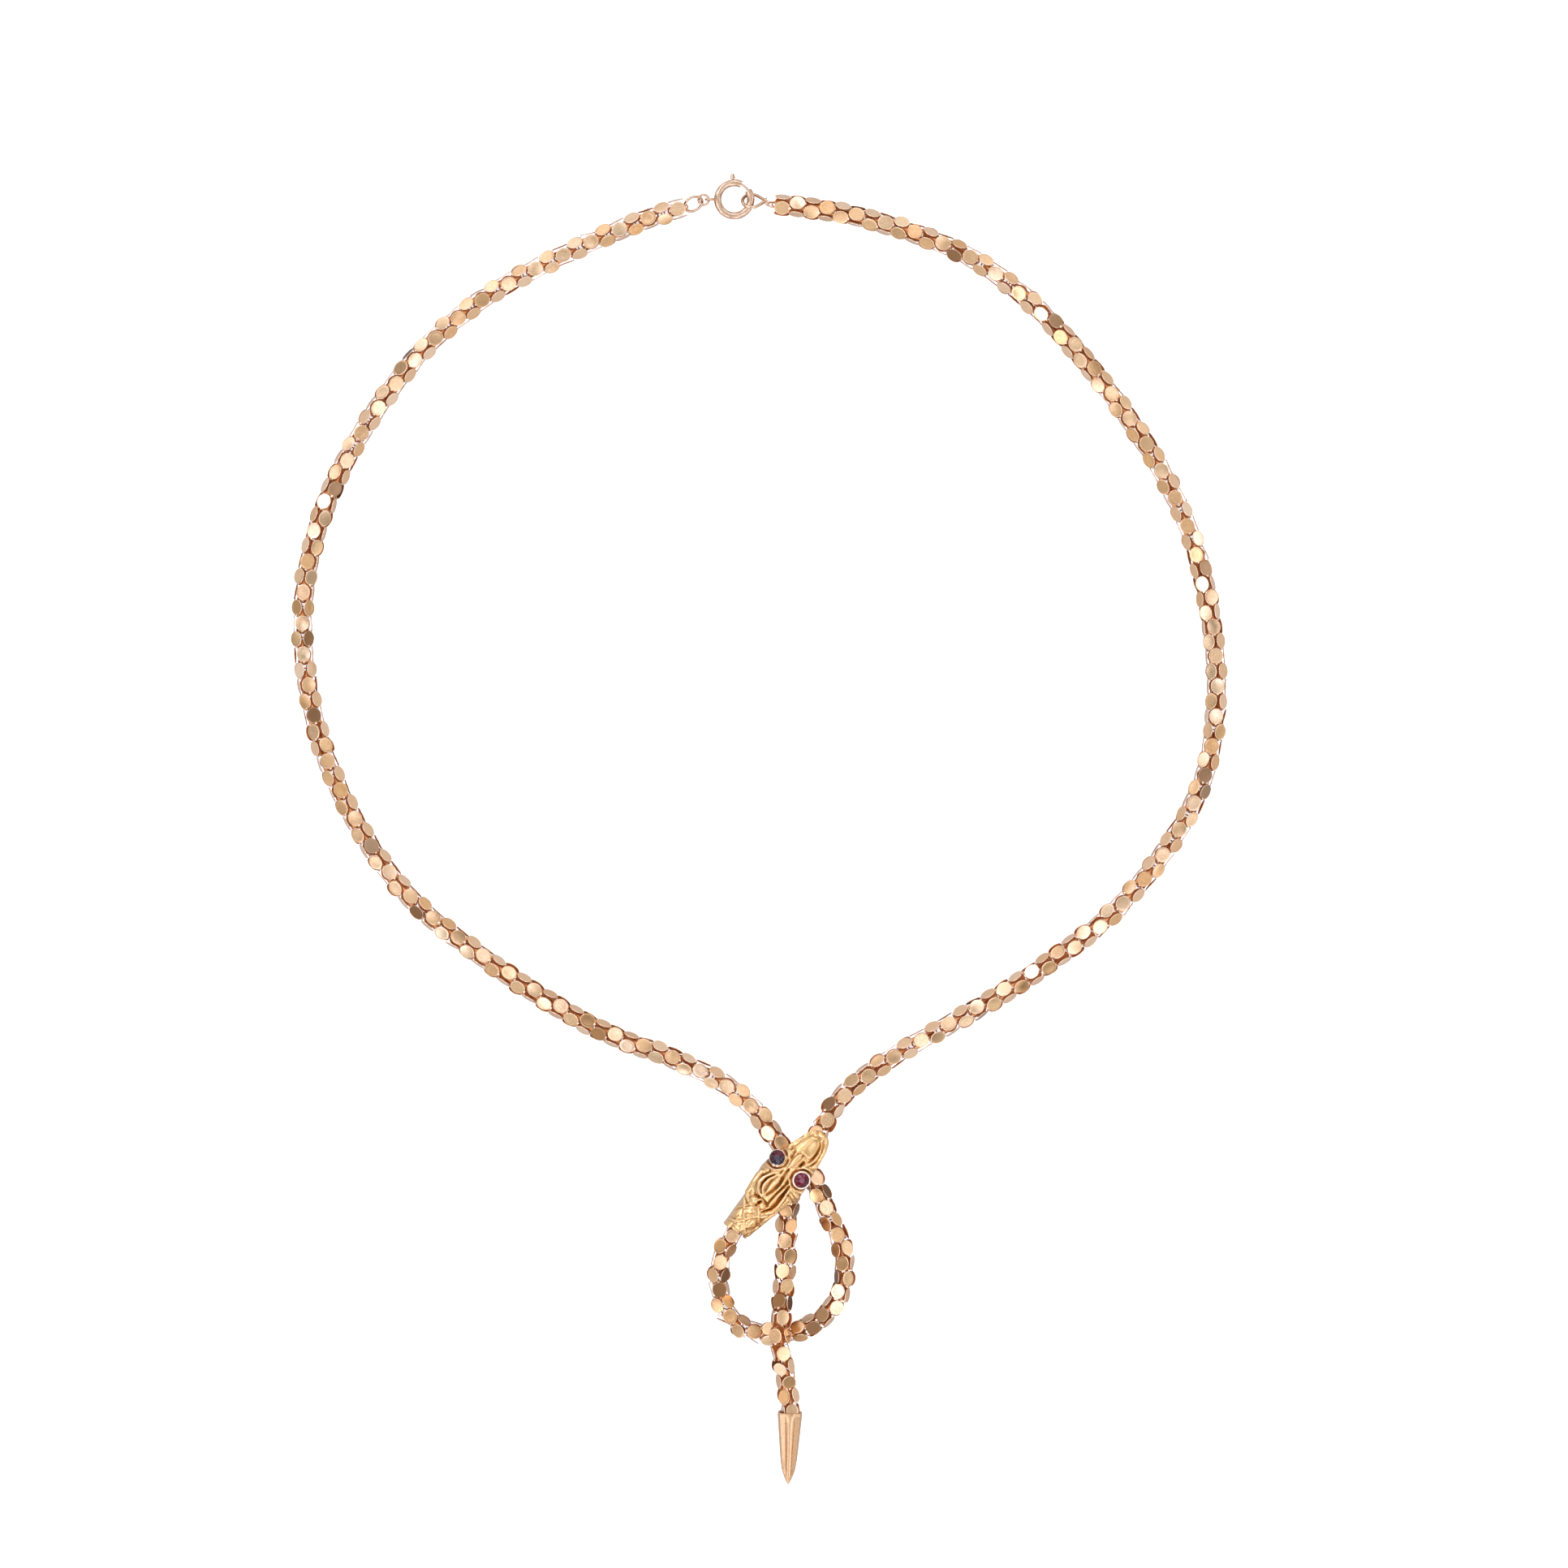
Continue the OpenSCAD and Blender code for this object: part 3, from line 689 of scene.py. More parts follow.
@dataclass(frozen=True)
class Stroke:
    """One stroke of the chaser's tools on the head, along a line of distance and side pairs."""

    half_w: float
    deep: float
    fade: float
    line: tuple[tuple[float, float], ...]
    kind: Chased

    def height(self, s: Grid, t: Grid) -> Grid:
        """Returns how far the stroke lifts or lowers the skin.

        Args:
            s: Distances along the head.
            t: Sides, left being positive.

        Returns:
            Heights, never of the other sign than the kind of stroke.
        """
        best, walked = np.full(s.shape, np.inf), np.zeros(s.shape)
        line = np.array(self.line)
        spans = np.linalg.norm(np.diff(line, axis=0), axis=1)
        total, before = spans.sum(), 0.0
        for a, b, span in zip(line[:-1], line[1:], spans):
            share, off = beside_line(s, t, a, b)
            closer = off < best
            best = np.where(closer, off, best)
            walked = np.where(closer, (before + share * span) / total, walked)
            before += span
        slim = 1 - self.fade * np.abs(2 * walked - 1) ** 2
        lift = np.clip(1 - (best / (self.half_w * slim)) ** 2, 0, 1) ** 0.5
        return self.kind.value * self.deep * lift * slim


@dataclass(frozen=True)
class Plate:
    """A raised plate on the head, drawn by its outline and crowned in the middle."""

    rise: float
    crown: float
    shoulder: float
    outline: tuple[tuple[float, float], ...]

    def height(self, s: Grid, t: Grid) -> Grid:
        """Returns how far the plate lifts the skin.

        Args:
            s: Distances along the head.
            t: Sides, left being positive.

        Returns:
            Heights, zero outside the outline.
        """
        ring = np.array(self.outline + self.outline[:1])
        inside = np.zeros(s.shape, bool)
        edge = np.full(s.shape, np.inf)
        for a, b in zip(ring[:-1], ring[1:]):
            edge = np.minimum(edge, beside_line(s, t, a, b)[1])
            rise = b[1] - a[1]
            crosses = (a[1] > t) != (b[1] > t)
            at = a[0] + (t - a[1]) / (rise if abs(rise) > 1e-9 else 1e-9) * (b[0] - a[0])
            inside ^= crosses & (s < at)
        widest = edge[inside].max() if inside.any() else 1.0
        deep = np.where(inside, edge, 0.0)
        foot = np.clip(deep / self.shoulder, 0, 1)
        return self.rise * np.sqrt(foot * (2 - foot)) + self.crown * np.sqrt(deep / widest)


# Raised rims and scale edges of the head. Columns: half width, height, how much slimmer and lower
# it is at its ends, and its line of distance from the neck and side
RIDGES = tuple(Stroke(*row, Chased.RIDGE) for row in (
    (0.3, 0.26, 0.0, ((16.6, 2.62), (17.4, 2.42), (18.7, 2.12), (20.15, 1.72), (21.0, 1.2))),
    (0.42, 0.26, 0.0, ((21.35, 0.5), (21.4, -0.1), (20.9, -0.95), (19.7, -1.8), (18.4, -2.2),
     (17.2, -2.36))),
    (0.22, 0.22, 0.4, ((20.75, -0.4), (19.9, -1.07), (18.9, -1.45), (17.9, -1.55),
     (17.0, -1.42), (15.9, -0.9), (14.9, -0.5), (13.7, -0.57))),
    (0.26, 0.22, 0.5, ((17.0, -0.2), (15.74, -0.1), (14.5, 0.0), (13.3, -0.25), (12.1, -0.45),
     (10.8, -0.55))),
    (0.22, 0.2, 0.0, ((16.9, 2.5), (15.9, 1.85), (15.2, 1.7))),
    (0.26, 0.3, 0.4, ((12.2, 1.7), (10.9, 2.15), (10.0, 2.15), (9.3, 1.7), (8.85, 1.16),
     (8.6, 0.5))),
    (0.22, 0.26, 0.4, ((12.2, 1.1), (11.3, 1.45), (10.3, 1.45), (9.6, 1.2), (9.1, 0.65),
     (8.5, 0.45))),
    (0.28, 0.3, 0.0, ((11.3, 3.0), (10.4, 3.0), (9.3, 2.85), (8.3, 2.6), (7.6, 2.45),
     (7.2, 2.0), (6.86, 1.4), (6.7, 0.9))),
    (0.22, 0.2, 0.4, ((12.4, -1.2), (11.4, -1.2), (10.2, -1.1), (9.2, -1.15), (8.2, -1.15))),
    (0.24, 0.26, 0.0, ((11.9, -1.82), (10.35, -2.12), (9.1, -2.26), (7.9, -2.1), (7.2, -1.6))),
    (0.17, 0.2, 0.0, ((6.78, 2.2), (5.94, 1.49), (5.0, 0.71), (4.26, 0.04), (3.69, -0.59),
     (3.0, -1.32), (2.4, -1.9))),
    (0.17, 0.2, 0.0, ((7.4, 0.2), (6.78, -0.55), (5.94, -1.33), (5.0, -2.2))),
    (0.16, 0.2, 0.0, ((4.7, 2.1), (5.04, 1.95), (5.62, 1.61), (6.15, 1.3), (6.78, 0.81),
     (7.3, 0.3))),
    (0.16, 0.2, 0.0, ((2.9, 1.75), (3.06, 1.33), (3.57, 0.5), (4.31, 0.06), (5.16, -0.38),
     (5.9, -0.95), (6.5, -1.7), (7.2, -2.0))),
    (0.16, 0.18, 0.0, ((3.0, -1.3), (3.81, -1.84), (4.44, -2.25))),
    (0.24, 0.26, 0.0, ((8.2, -2.75), (7.1, -2.42), (5.5, -2.26), (4.3, -2.2), (2.9, -2.0)))))
# Chased grooves between them, in the same columns with depths
GROOVES = tuple(Stroke(*row, Chased.GROOVE) for row in (
    (0.14, 0.16, 0.4, ((20.5, -0.5), (19.6, -0.95), (18.6, -1.22), (17.6, -1.26), (16.9, -1.1))),
    (0.15, 0.2, 0.0, ((20.9, -0.6), (19.3, -1.56), (17.9, -1.88), (16.9, -1.75))),
    (0.14, 0.16, 0.0, ((20.6, 1.2), (19.0, 1.9), (17.6, 2.12), (16.6, 2.15))),
    (0.16, 0.2, 0.0, ((12.9, 0.15), (11.9, -0.2), (10.4, -0.15), (9.2, 0.12))),
    (0.14, 0.26, 0.3, ((12.4, 1.35), (11.2, 1.78), (10.1, 1.8), (9.4, 1.45), (8.9, 0.9))),
    (0.18, 0.26, 0.0, ((12.2, 2.3), (10.9, 2.6), (9.6, 2.5), (8.6, 2.1), (8.1, 1.6))),
    (0.15, 0.22, 0.0, ((12.8, -0.95), (11.7, -0.86), (10.4, -0.82), (9.1, -0.8), (8.3, -0.85))),
    (0.2, 0.34, 0.3, ((12.6, -1.42), (11.2, -1.6), (10.2, -1.72), (9.2, -1.82), (8.0, -1.68),
     (6.9, -1.15))),
    (0.16, 0.2, 0.0, ((17.0, 1.6), (16.2, 1.35), (15.2, 1.25), (14.0, 1.0), (13.0, 0.85))),
    (0.18, 0.22, 0.0, ((16.6, -0.62), (15.4, -0.62), (14.3, -0.5), (13.4, -0.75), (12.4, -0.85))),
    (0.16, 0.18, 0.0, ((12.6, 0.15), (13.5, 0.32), (14.2, 0.35))),
    (0.16, 0.2, 0.0, ((8.15, 1.75), (8.2, 0.9), (8.45, 0.2), (8.35, -0.5), (8.1, -1.2))),
    (0.14, 0.22, 0.0, ((7.1, 0.25), (7.6, 0.22), (8.1, 0.1))),
    (0.14, 0.2, 0.0, ((12.9, -3.2), (12.4, -2.3), (12.9, -1.5))),
    (0.14, 0.18, 0.0, ((11.4, -2.0), (11.3, -2.7), (11.1, -3.6)))))
# Columns: rise, crown, width of the rounded shoulder, and outline of distance and side
PLATES = tuple(Plate(*row) for row in (
    (0.2, 0.03, 0.3, ((16.8, 1.8), (17.8, 1.82), (19.1, 1.62), (20.2, 1.12), (20.6, 0.34),
     (20.3, -0.3), (19.6, -0.72), (18.7, -0.98), (17.9, -1.04), (17.3, -0.86), (17.35, 0.0),
     (17.3, 0.6), (16.9, 1.0))),
    (0.27, 0.12, 0.3, ((17.45, 0.35), (17.1, 0.75), (16.5, 0.92), (15.5, 0.93), (14.5, 0.75),
     (13.9, 0.5), (14.9, 0.16), (15.9, 0.04), (16.8, 0.0))),
    (0.26, 0.1, 0.16, ((12.85, 0.6), (11.9, 0.86), (10.85, 0.88), (9.7, 0.62), (9.3, 0.36),
     (10.7, 0.14), (11.95, 0.1))),
    (0.2, 0.1, 0.16, ((12.3, -1.9), (11.95, -2.6), (11.75, -3.4), (12.3, -3.65), (12.6, -2.9),
     (12.75, -2.3))),
    (0.16, 0.08, 0.16, ((11.0, -3.4), (10.7, -3.85), (10.2, -3.7), (10.2, -3.3), (10.6, -3.1))),
    (0.12, 0.08, 0.16, ((6.75, 0.45), (6.1, 1.05), (5.55, 1.3), (5.15, 0.6), (5.45, 0.1),
     (6.3, -0.5))),
    (0.1, 0.08, 0.16, ((5.5, 1.4), (4.8, 1.75), (3.6, 1.6), (3.6, 0.85), (4.3, 0.35), (4.9, 0.9))),
    (0.1, 0.08, 0.16, ((5.5, -1.1), (4.9, -0.5), (4.2, -0.3), (3.6, -0.9), (4.1, -1.7),
     (4.8, -2.0))),
    (0.1, 0.08, 0.16, ((4.0, -0.1), (3.3, 0.5), (2.5, 0.5), (2.5, -0.6), (3.1, -1.0),
     (3.5, -0.6)))))
# Columns: distance, side, diameter, how far it stands proud
BOSSES = ((7.5, 0.95, 1.25, 0.42), (7.65, -0.47, 1.12, 0.4), (8.17, 0.32, 0.4, 0.2))
# Rows of grains. Columns: their width, distance and side of each
BEADS = ((0.38, ((10.97, -2.72), (10.45, -2.66), (9.95, -2.62), (9.45, -2.6), (8.95, -2.56),
                 (8.45, -2.42), (7.95, -2.3))),
         (0.3, ((16.5, -0.18), (16.1, -0.16), (15.7, -0.1), (15.3, -0.08), (14.9, -0.04),
                (14.1, -0.05), (13.7, -0.14), (13.3, -0.25), (12.9, -0.33), (12.5, -0.4))))
# The scalloped end of the neck. Columns: side, distance where the metal starts
NECK_MOUTH = ((-2.1, 1.7), (-1.85, 2.4), (-1.25, 2.5), (-0.77, 2.6), (-0.54, 2.25), (0.17, 2.15),
              (0.66, 2.2), (0.9, 1.85), (1.48, 1.8), (2.1, 1.75))


@dataclass
class SnakeHead:
    """The chased head: its skin, beads and collets.

    The columns of rows are distance from the neck, half width, height of the crown and of the
    left edge. right_edge gives the right edge's height, eyes the place of the two collets,
    eye_groove and eye_rim the radius, half width and depth or height of the rings round them.
    """

    neck: tuple[float, float] = (-5.1, -60.84)
    turn: float = 47.2
    length: float = 21.7
    wall: float = 0.45
    power: float = 2.4
    rings: int = 250
    columns: int = 140
    samples: int = 400
    ease: int = 12
    depth: float = 1.45
    # Gains of the painted shade in grooves and of the painted highlight on crests, and the level
    # under which neither is painted
    groove_shade_gain: float = 12.0
    crest_highlight_gain: float = 6.0
    plain_mark: float = 0.15
    snout_from: float = 20.4
    snout_fade: float = 0.5
    flank_fade: float = 2.4
    usual_half: tuple[float, float] = (3.2, 3.6)
    eye_groove: tuple[float, float, float] = (1.5, 0.16, 0.22)
    eye_rim: tuple[float, float, float] = (1.82, 0.2, 0.2)
    eye_lean: float = 12.0
    eyes: tuple[tuple[float, float, float], ...] = ((14.4, 2.76, 7.4), (14.4, -2.15, 7.8))
    collet_walls: tuple[float, float] = (0.6, 1.0)
    collet_bore: float = 1.08
    collet: Sequence[Row] = ((1.0, -1.45), (1.32, -1.45), (1.36, -0.9), (1.41, -0.45),
                             (1.42, -0.24), (1.38, -0.1), (1.3, -0.01), (1.21, 0.02),
                             (1.13, -0.01), (1.08, -0.08), (1.06, -0.3), (0.9, -0.62),
                             (0.3, -0.86))
    claws: tuple[tuple[float, ...], ...] = ((196.0, 223.0), ())
    claw_r: float = 0.26
    rows: Sequence[Row] = (
        (1.6, 1.9, 5.1, 2.1), (2.0, 1.95, 5.15, 2.1), (3.2, 2.08, 5.35, 2.2),
        (4.9, 2.3, 5.65, 2.5), (7.4, 2.6, 6.25, 2.9), (10.1, 3.25, 6.95, 3.4),
        (11.9, 3.6, 7.4, 3.5), (13.6, 3.5, 7.65, 3.55), (15.4, 3.05, 7.65, 3.9),
        (17.0, 2.6, 7.55, 4.7), (18.4, 2.25, 7.4, 5.3), (19.6, 1.95, 7.2, 5.6),
        (20.6, 1.5, 6.95, 5.7), (21.3, 1.0, 6.65, 5.75), (21.6, 0.62, 6.45, 5.8),
        (21.7, 0.3, 6.2, 5.85))
    right_edge: Sequence[Row] = ((2, 2.1), (5.6, 2.6), (7.2, 4.6), (8.4, 5.8), (12.6, 5.9),
                                 (19.6, 5.9), (21.7, 5.85))

    def place(self, points: Grid) -> Grid:
        """Moves points from the head's own axes to the part's."""
        return spun(points, self.turn) + [*self.neck, 0.0]

    def row(self, s: Grid, column: int) -> Grid:
        """Reads a column of the head's rows as a smooth line.

        Args:
            s: Distances along the head.
            column: 1 for the half width, 2 for the crown and 3 for the left edge.

        Returns:
            The column's values, unsmoothed at the blunt snout.
        """
        table = np.array(self.rows)
        fine = np.linspace(table[0, 0], table[-1, 0], self.samples)
        line = np.interp(fine, table[:, 0], table[:, column])
        kernel = np.hanning(2 * self.ease + 1)
        eased = np.convolve(np.pad(line, self.ease, mode="edge"), kernel / kernel.sum(),
                            mode="valid")
        return np.interp(s, fine, np.where(fine > self.snout_from, line, eased))

    def angles(self) -> Grid:
        """Returns section angles that share out the skin's width evenly."""
        fine = np.linspace(0, math.pi, 2001)
        y = self.swell(np.cos(fine)) * self.usual_half[0]
        z = self.swell(np.sin(fine)) * self.usual_half[1]
        walked = np.concatenate([[0], np.cumsum(np.hypot(np.diff(y), np.diff(z)))])
        return np.interp(np.linspace(0, walked[-1], self.columns), walked, fine)

    def swell(self, v: Grid) -> Grid:
        """Returns the squared-off circle's side for a circle's."""
        return np.sign(v) * np.abs(v) ** (2 / self.power)

    def skin(self, s: Grid, a: Grid, inset: float) -> Grid:
        """Returns the plain skin before chasing.

        Args:
            s: Distances along the head.
            a: Section angles, zero at the left edge.
            inset: Depth below the outer skin.

        Returns:
            Points in the head's axes.
        """
        half = np.maximum(self.row(s, 1) - inset, 0.05)
        right = np.array(self.right_edge)
        edge = np.where(a > math.pi / 2, np.interp(s, right[:, 0], right[:, 1]), self.row(s, 3))
        crown = np.maximum(self.row(s, 2) - inset, edge + 0.05)
        return np.stack([s, half * self.swell(np.cos(a)),
                         edge + (crown - edge) * self.swell(np.sin(a))], -1)

    def relief(self, s: Grid, t: Grid) -> Grid:
        """Adds up all that the chaser raised and sank.

        Args:
            s: Distances along the head.
            t: Sides, left being positive.

        Returns:
            Heights over the plain skin, before the depth of the whole work.
        """
        raised = np.zeros(s.shape)
        for mark in RIDGES + PLATES:
            raised = np.maximum(raised, mark.height(s, t))
        for at, side, wide, proud in BOSSES:
            off = np.hypot(s - at, t - side) / (wide / 2)
            raised = np.maximum(raised, proud * np.clip(1 - off**2, 0, 1) ** 0.5)
        sunk = np.zeros(s.shape)
        for mark in GROOVES:
            sunk = np.minimum(sunk, mark.height(s, t))
        for at, side, _ in self.eyes:
            off = np.hypot(s - at, t - side)
            radius, half_w, deep = self.eye_groove
            sunk = np.minimum(sunk, -deep * np.clip(1 - ((off - radius) / half_w) ** 2, 0, 1))
            radius, half_w, proud = self.eye_rim
            rim = proud * np.clip(1 - ((off - radius) / half_w) ** 2, 0, 1) ** 0.5
            raised = np.maximum(raised, rim)
        return raised + sunk

    def soften(self, lift: Grid, span: int) -> Grid:
        """Blurs the relief each way.

        Args:
            lift: Heights by ring and column.
            span: How many points it is blurred over.

        Returns:
            The blurred heights.
        """
        kernel = np.hanning(span + 2)[1:-1]
        kernel /= kernel.sum()
        blur = np.pad(lift, span // 2, mode="edge")
        for axis in (0, 1):
            blur = np.apply_along_axis(lambda v: np.convolve(v, kernel, mode="valid"), axis, blur)
        return blur

    def build_skin(self) -> MeshStock:
        """Makes the closed cast shell with its chased relief.

        Returns:
            The shell, with painted shade marked in its grooves and on its inside, and a painted
            highlight on its raised edges.
        """
        a = self.angles()
        plain = self.skin(np.full(a.shape, 1.8), a, 0.0)
        mouth = np.array(NECK_MOUTH)
        start = np.interp(plain[:, 1], mouth[:, 0], mouth[:, 1])
        share = np.linspace(0, 1, self.rings)[:, None]
        s = start[None, :] + share * (self.length - start[None, :])
        a = np.broadcast_to(a, s.shape)
        outer = self.skin(s, a, 0.0)
        lift = self.depth * self.soften(self.relief(outer[..., 0], outer[..., 1]), 5)
        along, across = np.gradient(outer, axis=0), np.gradient(outer, axis=1)
        normal = np.cross(across, along)
        normal /= np.maximum(np.linalg.norm(normal, axis=-1, keepdims=True), 1e-9)
        upright = (np.clip(np.sin(a) * self.flank_fade, 0, 1)
                   * np.clip((self.length - s) / self.snout_fade, 0, 1))
        outer = outer + normal * (lift * upright)[..., None]
        inner_s = np.minimum(s, self.length - self.wall)
        inner = self.skin(inner_s, a, self.wall)
        inner[..., 2] = np.maximum(inner[..., 2], outer[..., 2].min(axis=1, keepdims=True))
        # Sharp hollows of the relief are marked for painted shade, sharp crests for a painted
        # highlight, and the inner skin for painted shade
        sharpness = self.soften(lift, 3) - self.soften(lift, 11)
        sunk = np.clip(-self.groove_shade_gain * sharpness - self.plain_mark, 0, 1)
        raised = np.clip(self.crest_highlight_gain * sharpness - self.plain_mark, 0, 0.7)
        points = np.concatenate([outer.reshape(-1, 3), inner.reshape(-1, 3)])
        plain = np.zeros(s.size)
        marks = {"crease": np.concatenate([sunk.ravel(), plain]),
                 "edge": np.concatenate([raised.ravel(), plain]),
                 "inside": np.concatenate([plain, np.ones(s.size)])}
        stock = MeshStock()
        stock.add(self.place(points), self.shell_quads(), NO_TRIS, marks)
        return stock

    def shell_quads(self) -> Grid:
        """Joins the outer skin, the inner one and the four edges between them.

        Returns:
            Rows of four corner numbers, the inner skin's after the outer's.
        """
        rings, cols = self.rings, self.columns
        size, last = rings * cols, (rings - 1) * cols
        row, col = np.meshgrid(np.arange(rings - 1), np.arange(cols - 1), indexing="ij")
        here = (row * cols + col).ravel()
        quads = [np.stack([here, here + cols, here + cols + 1, here + 1], -1),
                 np.stack([here, here + 1, here + cols + 1, here + cols], -1) + size]
        front, left = np.arange(cols - 1), np.arange(rings - 1) * cols
        for a, b in ((front, front + 1), (last + front + 1, last + front), (left + cols, left),
                     (left + cols - 1, left + 2 * cols - 1)):
            quads.append(np.stack([a, b, size + b, size + a], -1))
        return np.concatenate(quads)

    def surface(self, s: float, t: float) -> Grid:
        """Finds the skin at a distance and side.

        Args:
            s: Distance along the head.
            t: Side, left being positive.

        Returns:
            The point in the head's axes.
        """
        half = float(self.row(np.array(s), 1))
        cosine = math.copysign(min(abs(t) / half, 0.999) ** (self.power / 2), t)
        point = self.skin(np.array(s), np.array(math.acos(cosine)), 0.0)
        lift = self.relief(np.array([s]), np.array([t]))[0]
        return point + [0, 0, self.depth * float(lift)]

    def build_beads(self) -> MeshStock:
        """Makes the grains of metal in a row behind the right eye and down the brow.

        Returns:
            All the grains.
        """
        stock = MeshStock()
        dice = random.Random(f"{SEED}-beads")
        for wide, spots in BEADS:
            for s, t in spots:
                points, quads, tris = dome(wide / 2 * dice.uniform(0.92, 1.06), tall=1.0,
                                           low=0.4, stations=7, segments=16)
                # Each grain gets a faint painted highlight
                stock.add(self.place(points + self.surface(s, t)), quads, tris,
                          {"edge": np.full(len(points), 0.4)})
        return stock

    def build_collets(self) -> MeshStock:
        """Makes the two collets: a tapered wall, a rolled rim and the lumps of a worn claw.

        Returns:
            Both collets.
        """
        stock = MeshStock()
        bore = self.collet_bore
        for eye, thick, claws in zip(self.eyes, self.collet_walls, self.claws):
            sized = [(r if r < bore else bore + (r - bore) * thick, z) for r, z in self.collet]
            shapes = [(turned(sized, 56), 0.0)]
            for around in claws:
                points, quads, tris = dome(self.claw_r, tall=0.8, low=1.2, stations=6,
                                           segments=14)
                points = spun(points * [1.0, 1.2, 1.0] + [bore + 0.16 * thick, 0.0, -0.1], around)
                shapes.append(((points, quads, tris), 0.3))
            for (points, quads, tris), edge in shapes:
                lean = -math.copysign(self.eye_lean, eye[1])
                # The cup under the stone gets painted shade; the top of the rim and the claws get
                # a painted highlight
                inside = np.clip((-0.1 - points[:, 2]) / 0.5, 0, 1)
                inside *= np.hypot(points[:, 0], points[:, 1]) < 1.1
                bright = np.maximum(edge, np.clip(1 - np.abs(points[:, 2]) / 0.12, 0, 1))
                stock.add(self.place(rolled(points, lean) + eye), quads, tris,
                          {"inside": inside, "edge": bright})
        return stock

    def build(self, skin_gold: bpy.types.Material, rim_gold: bpy.types.Material) -> None:
        """Makes the head's three pieces.

        Args:
            skin_gold: The chased yellow gold, of the beads too.
            rim_gold: The redder gold of the collets.
        """
        for name, stock, sharp, gold in (("head_skin", self.build_skin(), 60, skin_gold),
                                         ("head_beads", self.build_beads(), 60, skin_gold),
                                         ("head_collets", self.build_collets(), 50, rim_gold)):
            dress(stock.make(name, sharp), gold, "snake_head")


@dataclass
class Garnet:
    """A round brilliant: table, stars, kites, girdle halves and pavilion mains."""

    radius: float = 1.05
    table: float = 0.37
    crown: float = 0.42
    girdle: float = 0.05
    pavilion: float = 0.8
    kites: float = 0.74
    halves: float = 0.32
    facet_share: float = 0.66
    sunk: float = 0.06
    turns: tuple[float, float] = (11.0, 30.0)

    def cut(self) -> Shape:
        """Cuts the stone's facets.

        Returns:
            Points, quads and triangles about the stone's own axis.
        """
        r, g = self.radius, self.girdle / 2

        def ring(share: float, height: float, count: int, turn: float) -> list[list[float]]:
            """Lays out a ring of corners.

            Args:
                share: Its radius over the stone's.
                height: Its height over the girdle's middle.
                count: How many corners.
                turn: Turn of the ring, in steps from corner to corner.

            Returns:
                The corners.
            """
            return [[r * share * math.cos((k + turn) * math.tau / count),
                     r * share * math.sin((k + turn) * math.tau / count), height]
                    for k in range(count)]

        top, mid = g + self.crown, g + self.crown * self.facet_share
        points = (ring(self.table, top, 8, 0) + ring(self.kites, mid, 8, 0.5)
                  + ring(1, g, 16, 0) + ring(1, -g, 16, 0)
                  + ring(self.halves, -g - self.pavilion * self.facet_share, 8, 0.5)
                  + [[0, 0, -g - self.pavilion]])
        tris, quads = [], []
        for k in range(8):
            n = (k + 1) % 8
            m, before = 8 + k, 8 + (k - 1) % 8
            w, x, y = 16 + 2 * k, 16 + 2 * k + 1, 16 + (2 * k + 2) % 16
            tris += [[k, m, n], [m, w, x], [m, x, y]]
            quads.append([k, before, w, m])
            low_w, low_x, low_y, p = w + 16, x + 16, y + 16, 48 + k
            tris += [[low_x, low_w, p], [low_y, low_x, p]]
            quads.append([low_w, 48 + (k - 1) % 8, 56, p])
        quads += [[16 + k, 32 + k, 32 + (k + 1) % 16, 16 + (k + 1) % 16] for k in range(16)]
        tris += [[0, k, k + 1] for k in range(1, 7)]
        return np.array(points, float), np.array(quads), np.array(tris)

    def build(self, head: SnakeHead, glass: bpy.types.Material) -> None:
        """Sets a garnet in each collet.

        Args:
            head: The head that carries the collets.
            glass: The garnet's material.
        """
        points, quads, tris = self.cut()
        for side, eye, turn in zip(("left", "right"), head.eyes, self.turns):
            lean = -math.copysign(head.eye_lean, eye[1])
            laid = rolled(spun(points - [0, 0, self.sunk], turn), lean)
            stock = MeshStock()
            stock.add(head.place(laid + eye), quads, tris, {})
            dress(stock.make(f"{side}_eye_garnet", 0), glass, f"{side}_eye_stone")


